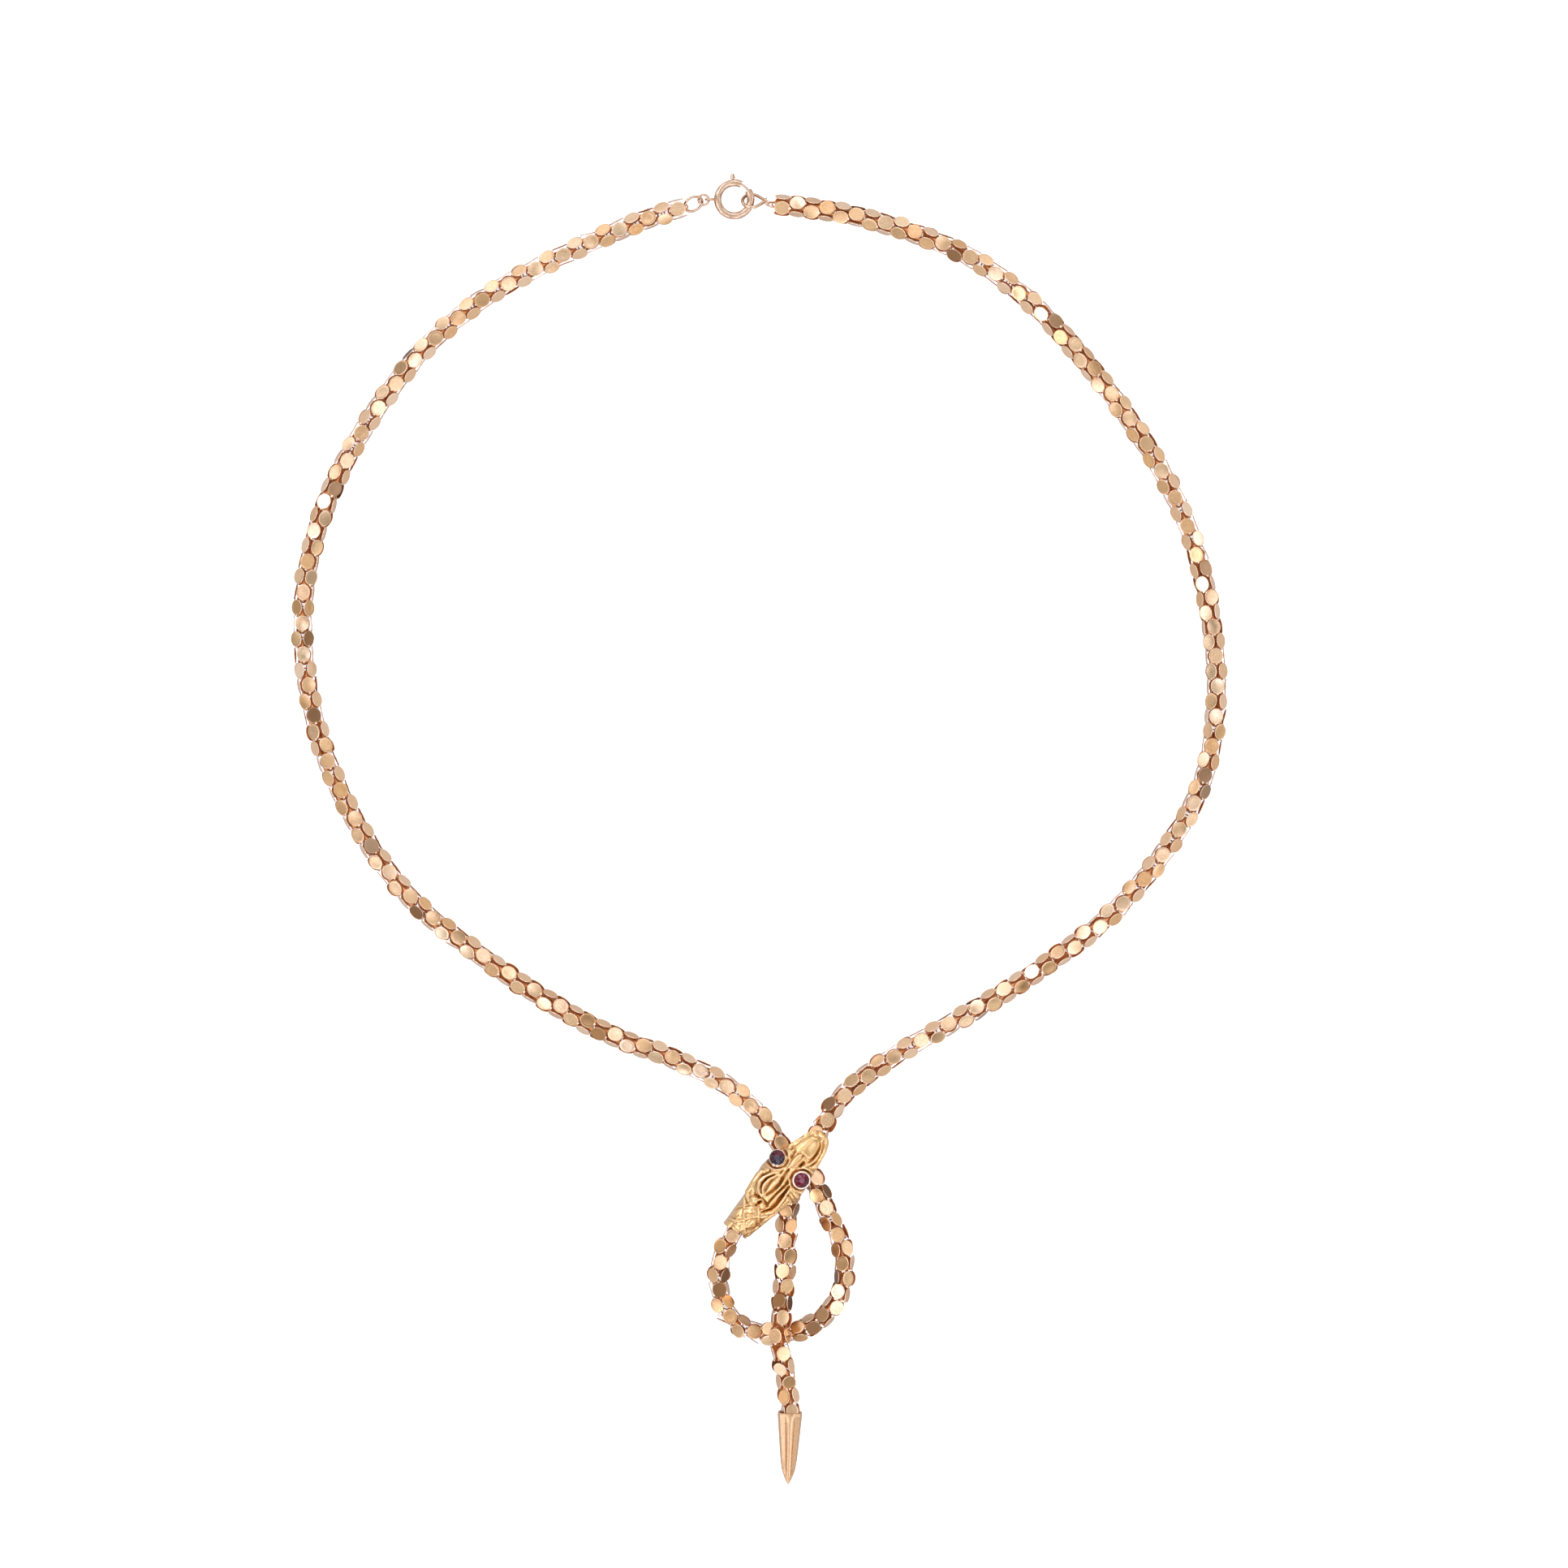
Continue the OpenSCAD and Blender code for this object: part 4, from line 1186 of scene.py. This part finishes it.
@dataclass
class TailCap:
    """The tapered tail, fluted above and below.

    The columns of rows are share of the length, share of the full width and depth of the
    flute, those of lip share, depth below the skin and place along the cap.
    """

    mouth: tuple[float, float, float] = (4.55, -86.3, 1.75)
    tip: tuple[float, float, float] = (4.26, -96.96, 0.75)
    length: float = 10.8
    width: float = 3.66
    height: float = 3.3
    bevel_steps: int = 5
    flute_points: int = 13
    rings: int = 80
    rows: Sequence[Row] = ((0, 0.98, 0.06), (0.03, 1.0, 0.1), (0.12, 0.95, 0.26),
                           (0.28, 0.87, 0.34), (0.5, 0.76, 0.34), (0.66, 0.67, 0.3),
                           (0.78, 0.56, 0.2), (0.84, 0.46, 0.12), (0.9, 0.33, 0.03),
                           (0.955, 0.17, 0.0), (0.985, 0.09, 0.0), (1, 0.02, 0.0))
    half_section: Sequence[Row] = ((1.0, 0.0), (0.99, 0.3), (0.93, 0.62), (0.8, 0.84), (0.4, 1.0))
    lip: Sequence[Row] = ((0.1, 0.62, 1.9), (0.0, 0.5, 0.12), (0.0, 0.2, -0.04),
                          (0.01, 0.09, -0.08), (0.01, 0.02, -0.03), (0.01, 0.0, 0.06))

    def place(self, points: Grid) -> Grid:
        """Moves points from the cap's axes, +X to the tip, to the part's."""
        return pointed(points, np.subtract(self.tip, self.mouth), self.mouth)

    def section(self, share: float, inset: float = 0.0) -> Grid:
        """Returns the cap's outline at a share of its length.

        Args:
            share: Zero at the mouth, one at the tip.
            inset: Depth below the outer skin.

        Returns:
            Points round the section.
        """
        table = np.array(self.rows)
        scale = float(np.interp(share, table[:, 0], table[:, 1]))
        flute = float(np.interp(share, table[:, 0], table[:, 2]))
        half_w = max(self.width / 2 * scale - inset, 0.02)
        half_h = max(self.height / 2 * (0.05 + 0.95 * scale) - inset, 0.02)
        corners = np.array(self.half_section)
        bevel = []
        for a, b in zip(corners[:-1], corners[1:]):
            bevel += [a + (b - a) * k / self.bevel_steps for k in range(self.bevel_steps)]
        flute_w = corners[-1][0]
        hollow = [(flute_w * math.cos(v), 1.0 - flute / half_h * math.sin(v) ** 1.3)
                  for v in np.linspace(0, math.pi, self.flute_points)]
        upper = np.array([*bevel, *hollow, *[(-y, z) for y, z in bevel[:0:-1]]])
        ring = np.concatenate([upper, -upper])
        return np.stack([np.full(len(ring), share * self.length), ring[:, 0] * half_w,
                         ring[:, 1] * half_h], -1)

    def build(self, finish: bpy.types.Material) -> None:
        """Makes the cap with its lip and the hollow of its mouth.

        Args:
            finish: The cap's gold, with fine lines.
        """
        rings = []
        for share, inset, x in self.lip:
            rings.append(self.section(share, inset))
            rings[-1][:, 0] = x
        rings += [self.section(share) for share in np.linspace(0.02, 1, self.rings)]
        points, quads, tris = loft(np.array(rings))
        # The inner lip rings and the middle of the mouth get painted shade, darkening the hollow
        inside = np.zeros(len(points))
        inside[:2 * len(rings[0])] = inside[-2] = 1.0
        stock = MeshStock()
        stock.add(self.place(points), quads, tris, {"inside": inside})
        dress(stock.make("tail_cap_shell", 26), finish, "tail_cap")


class Bench:
    """Lays out shader nodes in a tree and joins them."""

    def __init__(self, tree: bpy.types.NodeTree) -> None:
        """Starts on a tree."""
        self.tree = tree

    def node(self, kind: str, inputs: dict[str | int, object] | None = None,
             **settings: object) -> bpy.types.Node:
        """Adds a node and sets it up.

        Args:
            kind: The node's type name, without the ShaderNode that most start with.
            inputs: A socket to join or a plain value, by the input's name or number.
            settings: The node's own properties.

        Returns:
            The node.
        """
        made = self.tree.nodes.new(kind if kind.startswith("Node") else f"ShaderNode{kind}")
        for key, value in settings.items():
            setattr(made, key, value)
        for key, value in (inputs or {}).items():
            if isinstance(value, bpy.types.NodeSocket):
                self.tree.links.new(value, made.inputs[key])
            else:
                made.inputs[key].default_value = value
        return made

    def sum(self, operation: str, *terms: object) -> bpy.types.NodeSocket:
        """Works out one math node from sockets or plain numbers."""
        return self.node("Math", dict(enumerate(terms)), operation=operation).outputs[0]

    def blend(self, share: object, first: object, second: object) -> bpy.types.NodeSocket:
        """Mixes two colours, sockets or plain ones; a share of zero gives the first."""
        return self.node("Mix", {0: share, 6: first, 7: second}, data_type="RGBA").outputs[2]

    def reach(self, value: bpy.types.NodeSocket, first: float, last: float, top: float = 1.0,
              kind: str = "LINEAR") -> bpy.types.NodeSocket:
        """Turns a value's way from first to last into zero to top."""
        return self.node("MapRange", {"Value": value, "From Min": first, "From Max": last,
                                      "To Min": 0.0, "To Max": top},
                         interpolation_type=kind).outputs[0]

    def noise(self, place: bpy.types.NodeSocket, scale: object, detail: float,
              rough: float = 0.5) -> bpy.types.NodeSocket:
        """Reads a cloudy noise at a place, by its scale, detail and roughness."""
        return self.node("TexNoise", {"Vector": place, "Scale": scale, "Detail": detail,
                                      "Roughness": rough}).outputs["Fac"]

    def mark(self, name: str) -> bpy.types.NodeSocket:
        """Reads one of the meshes' own marks."""
        return self.node("Attribute", attribute_name=name).outputs["Fac"]


def colour(code: str) -> tuple[float, float, float, float]:
    """Turns a web colour into Blender's linear one."""
    parts = [int(code[i:i + 2], 16) / 255 for i in (1, 3, 5)]
    return (*[p / 12.92 if p <= 0.04045 else ((p + 0.055) / 1.055) ** 2.4 for p in parts], 1.0)


def new_material(name: str) -> tuple[bpy.types.Material, Bench]:
    """Starts a material with no nodes yet.

    Args:
        name: The material's name.

    Returns:
        The material and a bench on its tree.
    """
    made = bpy.data.materials.new(name)
    made.use_nodes = True
    made.node_tree.nodes.clear()
    return made, Bench(made.node_tree)


FLOAT, COLOUR, VECTOR = "NodeSocketFloat", "NodeSocketColor", "NodeSocketVector"


def new_group(name: str, takes: dict[str, str], gives: dict[str, str]
              ) -> tuple[Bench, Sequence[bpy.types.NodeSocket]]:
    """Starts a shared shader node group.

    Args:
        name: The group's name.
        takes: Socket types of its inputs by name.
        gives: Socket types of its outputs by name.

    Returns:
        A bench on the group and the sockets of what it takes.
    """
    tree = bpy.data.node_groups.new(name, "ShaderNodeTree")
    for side, sockets in (("INPUT", takes), ("OUTPUT", gives)):
        for label, kind in sockets.items():
            tree.interface.new_socket(label, in_out=side, socket_type=kind)
    bench = Bench(tree)
    return bench, bench.node("NodeGroupInput").outputs


def make_wear_group() -> bpy.types.NodeTree:
    """Builds the fine handling marks that every gold shares.

    Returns:
        The group. It takes a place and a scale, and gives a haze mask and a height.
    """
    bench, takes = new_group("fine_wear", {"Place": VECTOR, "Scale": FLOAT},
                             {"Haze": FLOAT, "Height": FLOAT})
    cloud = bench.noise(takes["Place"], takes["Scale"], 4.0, 0.62)
    stretch = bench.node("Mapping", {"Vector": takes["Place"], "Rotation": (0.0, 0.0, 0.7),
                                     "Scale": (1.0, 9.0, 1.0)})
    hair = bench.noise(stretch.outputs[0], bench.sum("MULTIPLY", takes["Scale"], 2.0), 3.0, 0.7)
    bench.node("NodeGroupOutput", {
        "Haze": bench.sum("SMOOTH_MIN", cloud, 1.0, 0.1),
        "Height": bench.sum("ADD", bench.sum("MULTIPLY", cloud, 0.4),
                            bench.sum("MULTIPLY", hair, 0.6))})
    return bench.tree


def make_tone_group() -> bpy.types.NodeTree:
    """Builds the colour of worn gold from the marks that the meshes carry, with painted shade in
    hollows, creases and dark discs and painted highlights on edges.

    Returns:
        The group. It takes five colours, the haze and the polish, and gives a colour, a
        roughness and how metallic the surface looks, which is less inside the links as part of the
        painted shade there.
    """
    bench, takes = new_group(
        "gold_tone", {"Light": COLOUR, "Dark": COLOUR, "Inside": COLOUR, "Crease": COLOUR,
                      "Edge": COLOUR, "Haze": FLOAT, "Rough": FLOAT},
        {"Color": COLOUR, "Roughness": FLOAT, "Metal": FLOAT})
    tone = bench.sum("MULTIPLY_ADD", bench.mark("tone"), -0.45, 0.5)
    cloud = bench.sum("MULTIPLY_ADD", takes["Haze"], 0.7, -0.35)
    share = bench.node("Clamp", {"Value": bench.sum("ADD", tone, cloud)})
    shade = bench.blend(share.outputs[0], takes["Light"], takes["Dark"])
    rough = bench.sum("MULTIPLY_ADD", takes["Haze"], 0.16, takes["Rough"])
    # The first two colours are painted shade for hollows, creases and dark discs, the last a
    # painted highlight for edges
    for label, cover, rougher in (("Inside", 1.0, 0.22), ("Crease", 1.0, 0.2),
                                  ("Edge", 0.85, -0.06)):
        mark = bench.mark(label.lower())
        shade = bench.blend(bench.sum("MULTIPLY", mark, cover), shade, takes[label])
        rough = bench.sum("MULTIPLY_ADD", mark, rougher, rough)
    bench.node("NodeGroupOutput", {
        "Color": shade, "Roughness": rough,
        "Metal": bench.sum("MULTIPLY_ADD", bench.mark("inside"), -0.35, 1.0)})
    return bench.tree


@dataclass(frozen=True)
class GoldFinish:
    """One gold: its colours, among them painted shade and painted highlight colours, polish and
    handling marks.
    """

    name: str
    light: str
    dark: str
    # The next three colours are painted light: shade in hollows, shade in creases and on dark
    # discs, and highlights on edges
    inside: str
    crease: str
    edge: str
    rough: float
    wear_scale: float = 2600.0
    bump: float = 0.08
    bump_depth: float = 0.00006
    hatch: float = 0.0

    def make(self, wear: bpy.types.NodeTree, tone: bpy.types.NodeTree) -> bpy.types.Material:
        """Builds the material.

        Args:
            wear: The shared group of handling marks.
            tone: The shared group of colours.

        Returns:
            The material.
        """
        made, bench = new_material(self.name)
        place = bench.node("TexCoord").outputs["Object"]
        marks = bench.node("Group", {"Place": place, "Scale": self.wear_scale},
                           node_tree=wear).outputs
        tones = bench.node("Group", {
            "Light": colour(self.light), "Dark": colour(self.dark),
            "Inside": colour(self.inside), "Crease": colour(self.crease),
            "Edge": colour(self.edge), "Haze": marks["Haze"], "Rough": self.rough},
            node_tree=tone).outputs
        height = marks["Height"]
        if self.hatch:
            lines = bench.node("TexWave", {"Vector": place, "Scale": 1500.0, "Distortion": 2.5,
                                           "Detail": 2.0, "Detail Scale": 2.0},
                               wave_type="BANDS", bands_direction="DIAGONAL")
            height = bench.sum("MULTIPLY_ADD", lines.outputs["Fac"], self.hatch, height)
        bump = bench.node("Bump", {"Height": height, "Strength": self.bump,
                                   "Distance": self.bump_depth})
        shader = bench.node("BsdfPrincipled", {
            "Base Color": tones["Color"], "Metallic": tones["Metal"],
            "Roughness": tones["Roughness"], "Normal": bump.outputs[0]})
        bench.node("OutputMaterial", {0: shader.outputs[0]})
        return made


@dataclass(frozen=True)
class GarnetFinish:
    """Deep red glass for the eyes, with the stone's flashes and dark depths painted in by a noise.
    """

    name: str = "garnet"
    body: str = "#7c0628"
    depth: str = "#180310"
    cloud: tuple[float, float] = (700.0, 1.0)
    cloud_edge: tuple[float, float] = (0.4, 0.6)
    rough: float = 0.03
    ior: float = 1.6
    gloss: float = 0.2
    clear: float = 0.7

    def make(self) -> bpy.types.Material:
        """Builds the material.

        Returns:
            The material.
        """
        made, bench = new_material(self.name)
        # A noise mixes the red body colour with the near-black depth colour, painting the stone's
        # flashes and dark depths into its colour
        cloud = bench.noise(bench.node("TexCoord").outputs["Object"], *self.cloud)
        deep = bench.reach(cloud, *self.cloud_edge, kind="SMOOTHSTEP")
        shader = bench.node("BsdfPrincipled", {
            "Base Color": bench.blend(deep, colour(self.body), colour(self.depth)),
            "Metallic": 0.0, "Roughness": self.rough, "IOR": self.ior,
            "Specular IOR Level": self.gloss, "Transmission Weight": self.clear})
        bench.node("OutputMaterial", {0: shader.outputs[0]})
        return made


@dataclass
class Clasp:
    """The bolt ring, its trigger, the jump rings and the catch loop, kept from the frame."""

    nodes: tuple[str, ...] = ("bolt_ring", "bolt_trigger", "long_jump_ring", "small_jump_ring",
                              "catch_loop")

    def build(self, finish: bpy.types.Material) -> None:
        """Dresses the clasp's own solids.

        Args:
            finish: The rose gold.
        """
        for name in self.nodes:
            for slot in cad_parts[name].material_slots:
                slot.link = "OBJECT"
                slot.material = finish
            log.info("%s: kept from the frame", name)


@dataclass
class Studio:
    """The pale table, the soft light all round and the camera straight above.

    Levels are rows of place and brightness, and a noise is its scale and detail. A window is
    its direction, half width in degrees and brightness, a lamp its name, place, size and power.
    The dim parts of the room have the dim tint, the brightest ones the bright tint.
    """

    look_at: tuple[float, float] = (3.66, 6.6)
    view_w: float = 231.84
    lens: float = 200.0
    sensor: float = 36.0
    floor_w: float = 6.0
    floor_z: float = -0.06
    glow: float = 0.6
    white: float = 0.93
    glossy_dim: float = 0.38
    sky_gain: float = 1.24
    wall_levels: Sequence[Row] = ((0, 0.3), (0.125, 1.05), (0.25, 0.6), (0.375, 0.85),
                                  (0.5, 0.6), (0.625, 1.0), (0.75, 0.7), (0.875, 1.15), (1, 0.3))
    screen_sides: Sequence[Row] = ((0, 0.95), (0.125, 1.5), (0.3, 1.05), (0.5, 0.8),
                                   (0.625, 0.75), (0.8, 0.95), (1, 0.95))
    roof_levels: Sequence[Row] = ((0.42, 0.09), (0.44, 0.4), (0.48, 0.5), (0.49, 0.64),
                                  (0.56, 0.7), (0.58, 0.95), (0.61, 1.0), (0.63, 1.5))
    slat_levels: Sequence[Row] = ((0.38, 0.35), (0.42, 0.85), (0.58, 1.0), (0.62, 1.4))
    screen_levels: Sequence[Row] = ((0.38, 0.2), (0.43, 0.6), (0.48, 0.8), (0.53, 1.2),
                                    (0.58, 1.4), (0.62, 1.9))
    slat_noise: tuple[float, float] = (7.0, 0.6)
    screen_noise: tuple[float, float] = (3.6, 0.8)
    wall_top: tuple[float, float] = (0.14, 0.26)
    roof_edge: tuple[float, float] = (0.86, 0.93)
    dim_tint: tuple[float, float, float, float] = (1.0, 0.91, 0.79, 1.0)
    dim_from: tuple[float, float] = (0.3, 0.9)
    bright_tint: tuple[float, float, float, float] = (0.98, 1.0, 1.3, 1.0)
    bright_from: tuple[float, float] = (0.9, 1.35)
    windows: Sequence[tuple[Row, float, float]] = (
        ((-0.5, 0.3, 0.81), 11.0, 1.5), ((0.55, -0.25, 0.8), 9.0, 1.2),
        ((0.1, 0.75, 0.65), 10.0, 1.4), ((-0.3, 0.234, 0.925), 5.0, 1.3),
        ((0.297, -0.319, 0.9), 5.0, 1.3))
    lamps: Sequence[tuple[str, Row, float, float]] = (
        ("high_box", (0.35, -0.25, 2.6), 1.6, 16.0), ("side_box", (1.6, 0.7, 0.9), 0.9, 4.0))

    def floor(self) -> None:
        """Lays the pale table."""
        half, z = self.floor_w / 2, self.floor_z * MM
        mesh = bpy.data.meshes.new("table_top")
        mesh.from_pydata([(-half, -half, z), (half, -half, z), (half, half, z), (-half, half, z)],
                         [], [(0, 1, 2, 3)])
        table = bpy.data.objects.new("table_top", mesh)
        bpy.context.collection.objects.link(table)
        made, bench = new_material("pale_table")
        rays = bench.node("LightPath").outputs
        # The table shows darker in reflections than to the camera: painted shade in what the gold
        # mirrors
        shader = bench.node("BsdfPrincipled", {
            "Base Color": bench.sum("MULTIPLY_ADD", rays["Is Glossy Ray"], -self.glossy_dim,
                                    self.white),
            "Roughness": 0.9, "Specular IOR Level": 0.1, "Emission Color": WHITE,
            "Emission Strength": bench.sum("MULTIPLY", rays["Is Camera Ray"], self.glow)})
        bench.node("OutputMaterial", {0: shader.outputs[0]})
        mesh.materials.append(made)

    def steps(self, bench: Bench, value: bpy.types.NodeSocket, levels: Sequence[Row], kind: str
              ) -> bpy.types.NodeSocket:
        """Turns a value into brightness by a row of stops.

        Args:
            bench: The bench that holds the nodes.
            value: What is looked up.
            levels: Place and brightness of each stop.
            kind: How the ramp runs from stop to stop.

        Returns:
            The brightness.
        """
        ramp = bench.node("ValToRGB", {0: value})
        ramp.color_ramp.interpolation = kind
        while len(ramp.color_ramp.elements) < len(levels):
            ramp.color_ramp.elements.new(0.5)
        for stop, (place, level) in zip(ramp.color_ramp.elements, levels):
            stop.position, stop.color = place, (level, level, level, 1.0)
        return ramp.outputs[0]

    def sky(self) -> None:
        """Surrounds the table with pale walls that have a dark side."""
        world = bpy.data.worlds.new("studio")
        bpy.context.scene.world = world
        world.use_nodes = True
        world.node_tree.nodes.clear()
        bench = Bench(world.node_tree)
        way = bench.node("TexCoord").outputs["Generated"]
        x, y, z = bench.node("SeparateXYZ", {0: way}).outputs
        round_wall = bench.sum("MULTIPLY_ADD", bench.sum("ARCTAN2", y, x), 1 / math.tau, 0.5)
        wall = self.steps(bench, round_wall, self.wall_levels, "EASE")
        cloud = bench.noise(way, *self.slat_noise)
        roof = self.steps(bench, cloud, self.roof_levels, "LINEAR")
        slats = self.steps(bench, cloud, self.slat_levels, "LINEAR")
        screens = bench.sum(
            "MULTIPLY",
            self.steps(bench, bench.noise(way, *self.screen_noise), self.screen_levels, "LINEAR"),
            self.steps(bench, round_wall, self.screen_sides, "EASE"))
        level = bench.sum("MULTIPLY", wall, slats)
        for heights, above in ((self.wall_top, screens), (self.roof_edge, roof)):
            level = bench.blend(bench.reach(z, *heights, kind="SMOOTHSTEP"), level, above)
        for spot, wide, power in self.windows:
            facing = bench.node("VectorMath", {0: way, 1: unit(spot)}, operation="DOT_PRODUCT")
            pane = bench.reach(facing.outputs["Value"], math.cos(math.radians(wide)),
                               math.cos(math.radians(wide * 0.6)), power, "SMOOTHSTEP")
            level = bench.sum("ADD", level, pane)
        tint = bench.blend(bench.reach(level, *self.dim_from), self.dim_tint, WHITE)
        tint = bench.blend(bench.reach(level, *self.bright_from), tint, self.bright_tint)
        back = bench.node("Background", {
            "Color": tint, "Strength": bench.sum("MULTIPLY", level, self.sky_gain)})
        bench.node("OutputWorld", {0: back.outputs[0]})

    def lamp(self, name: str, spot: Sequence[float], size: float, power: float) -> None:
        """Hangs one soft box that faces the choker.

        Args:
            name: The lamp's name.
            spot: Its place in metres.
            size: Side of the square box in metres.
            power: Watts.
        """
        light = bpy.data.lights.new(name, "AREA")
        light.size, light.energy = size, power
        lamp = bpy.data.objects.new(name, light)
        lamp.location = spot
        lamp.rotation_euler = (-Vector(spot)).to_track_quat("-Z", "Y").to_euler()
        lamp.visible_glossy = False
        bpy.context.collection.objects.link(lamp)

    def camera(self) -> None:
        """Sets the camera straight above the choker."""
        lens = bpy.data.cameras.new("camera")
        lens.lens, lens.sensor_width = self.lens, self.sensor
        lens.clip_start, lens.clip_end = 0.01, 20.0
        made = bpy.data.objects.new("camera", lens)
        height = self.view_w * self.lens / self.sensor + AXIS_Z
        made.location = (self.look_at[0] * MM, self.look_at[1] * MM, height * MM)
        bpy.context.collection.objects.link(made)
        bpy.context.scene.camera = made

    def build(self) -> None:
        """Sets up the table, sky, lamps and camera."""
        self.camera()
        self.floor()
        self.sky()
        for lamp in self.lamps:
            self.lamp(*lamp)
        scene = bpy.context.scene
        scene.view_settings.view_transform = "Standard"
        scene.view_settings.look = "None"


# Columns: name, light and dark tone, painted shade in hollows, painted shade in creases and on
# dark discs, painted highlight on edges, roughness
CHAIN_GOLD = GoldFinish("chain_gold", "#fddfb9", "#e5b47c", "#da9050", "#76502c", "#ffe2be", 0.1)
HEAD_GOLD = GoldFinish("head_gold", "#fddca4", "#e2aa62", "#a8692c", "#7a5020", "#ffeec8", 0.1,
                       wear_scale=2200.0, bump=0.12)
ROSE_GOLD = GoldFinish("rose_gold", "#f0d6b8", "#c49c78", "#a86440", "#7a4a30", "#fff0dc", 0.08,
                       bump=0.1)
CAP_GOLD = GoldFinish("cap_gold", "#ecc79c", "#cc9f70", "#6a3c24", "#8a5434", "#ffeacb", 0.17,
                      bump=0.1, hatch=0.5)


def main() -> None:
    """Builds the choker piece by piece."""
    logging.basicConfig(level=logging.INFO, format="%(name)s: %(message)s")
    Studio().build()
    wear, tone = make_wear_group(), make_tone_group()
    chain, head_gold, rose, cap_gold = (
        finish.make(wear, tone) for finish in (CHAIN_GOLD, HEAD_GOLD, ROSE_GOLD, CAP_GOLD))
    strands = (
        Chain("head", "head_strand", Route(HEAD_ROUTE), HEAD_STATIONS, HEAD_TWIST, 22,
              (("chain_loop", 1, 26), ("chain_left_front", 27, 70), ("chain_left_back", 71, 113)),
              "neck_end_link", "snake_head"),
        Chain("tail", "tail_strand", Route(TAIL_ROUTE), TAIL_STATIONS, TAIL_TWIST, 19,
              (("chain_drop", 1, 22), ("chain_right_front", 23, 64),
               ("chain_right_back", 65, 105)), "tail_end_link", "tail_cap"))
    for strand in strands:
        strand.build(chain)
    for strand in strands:
        strand.build_end(chain)
    head = SnakeHead()
    head.build(head_gold, rose)
    Garnet().build(head, GarnetFinish().make())
    TailCap().build(cap_gold)
    Clasp().build(rose)


if __name__ == "__main__":
    main()
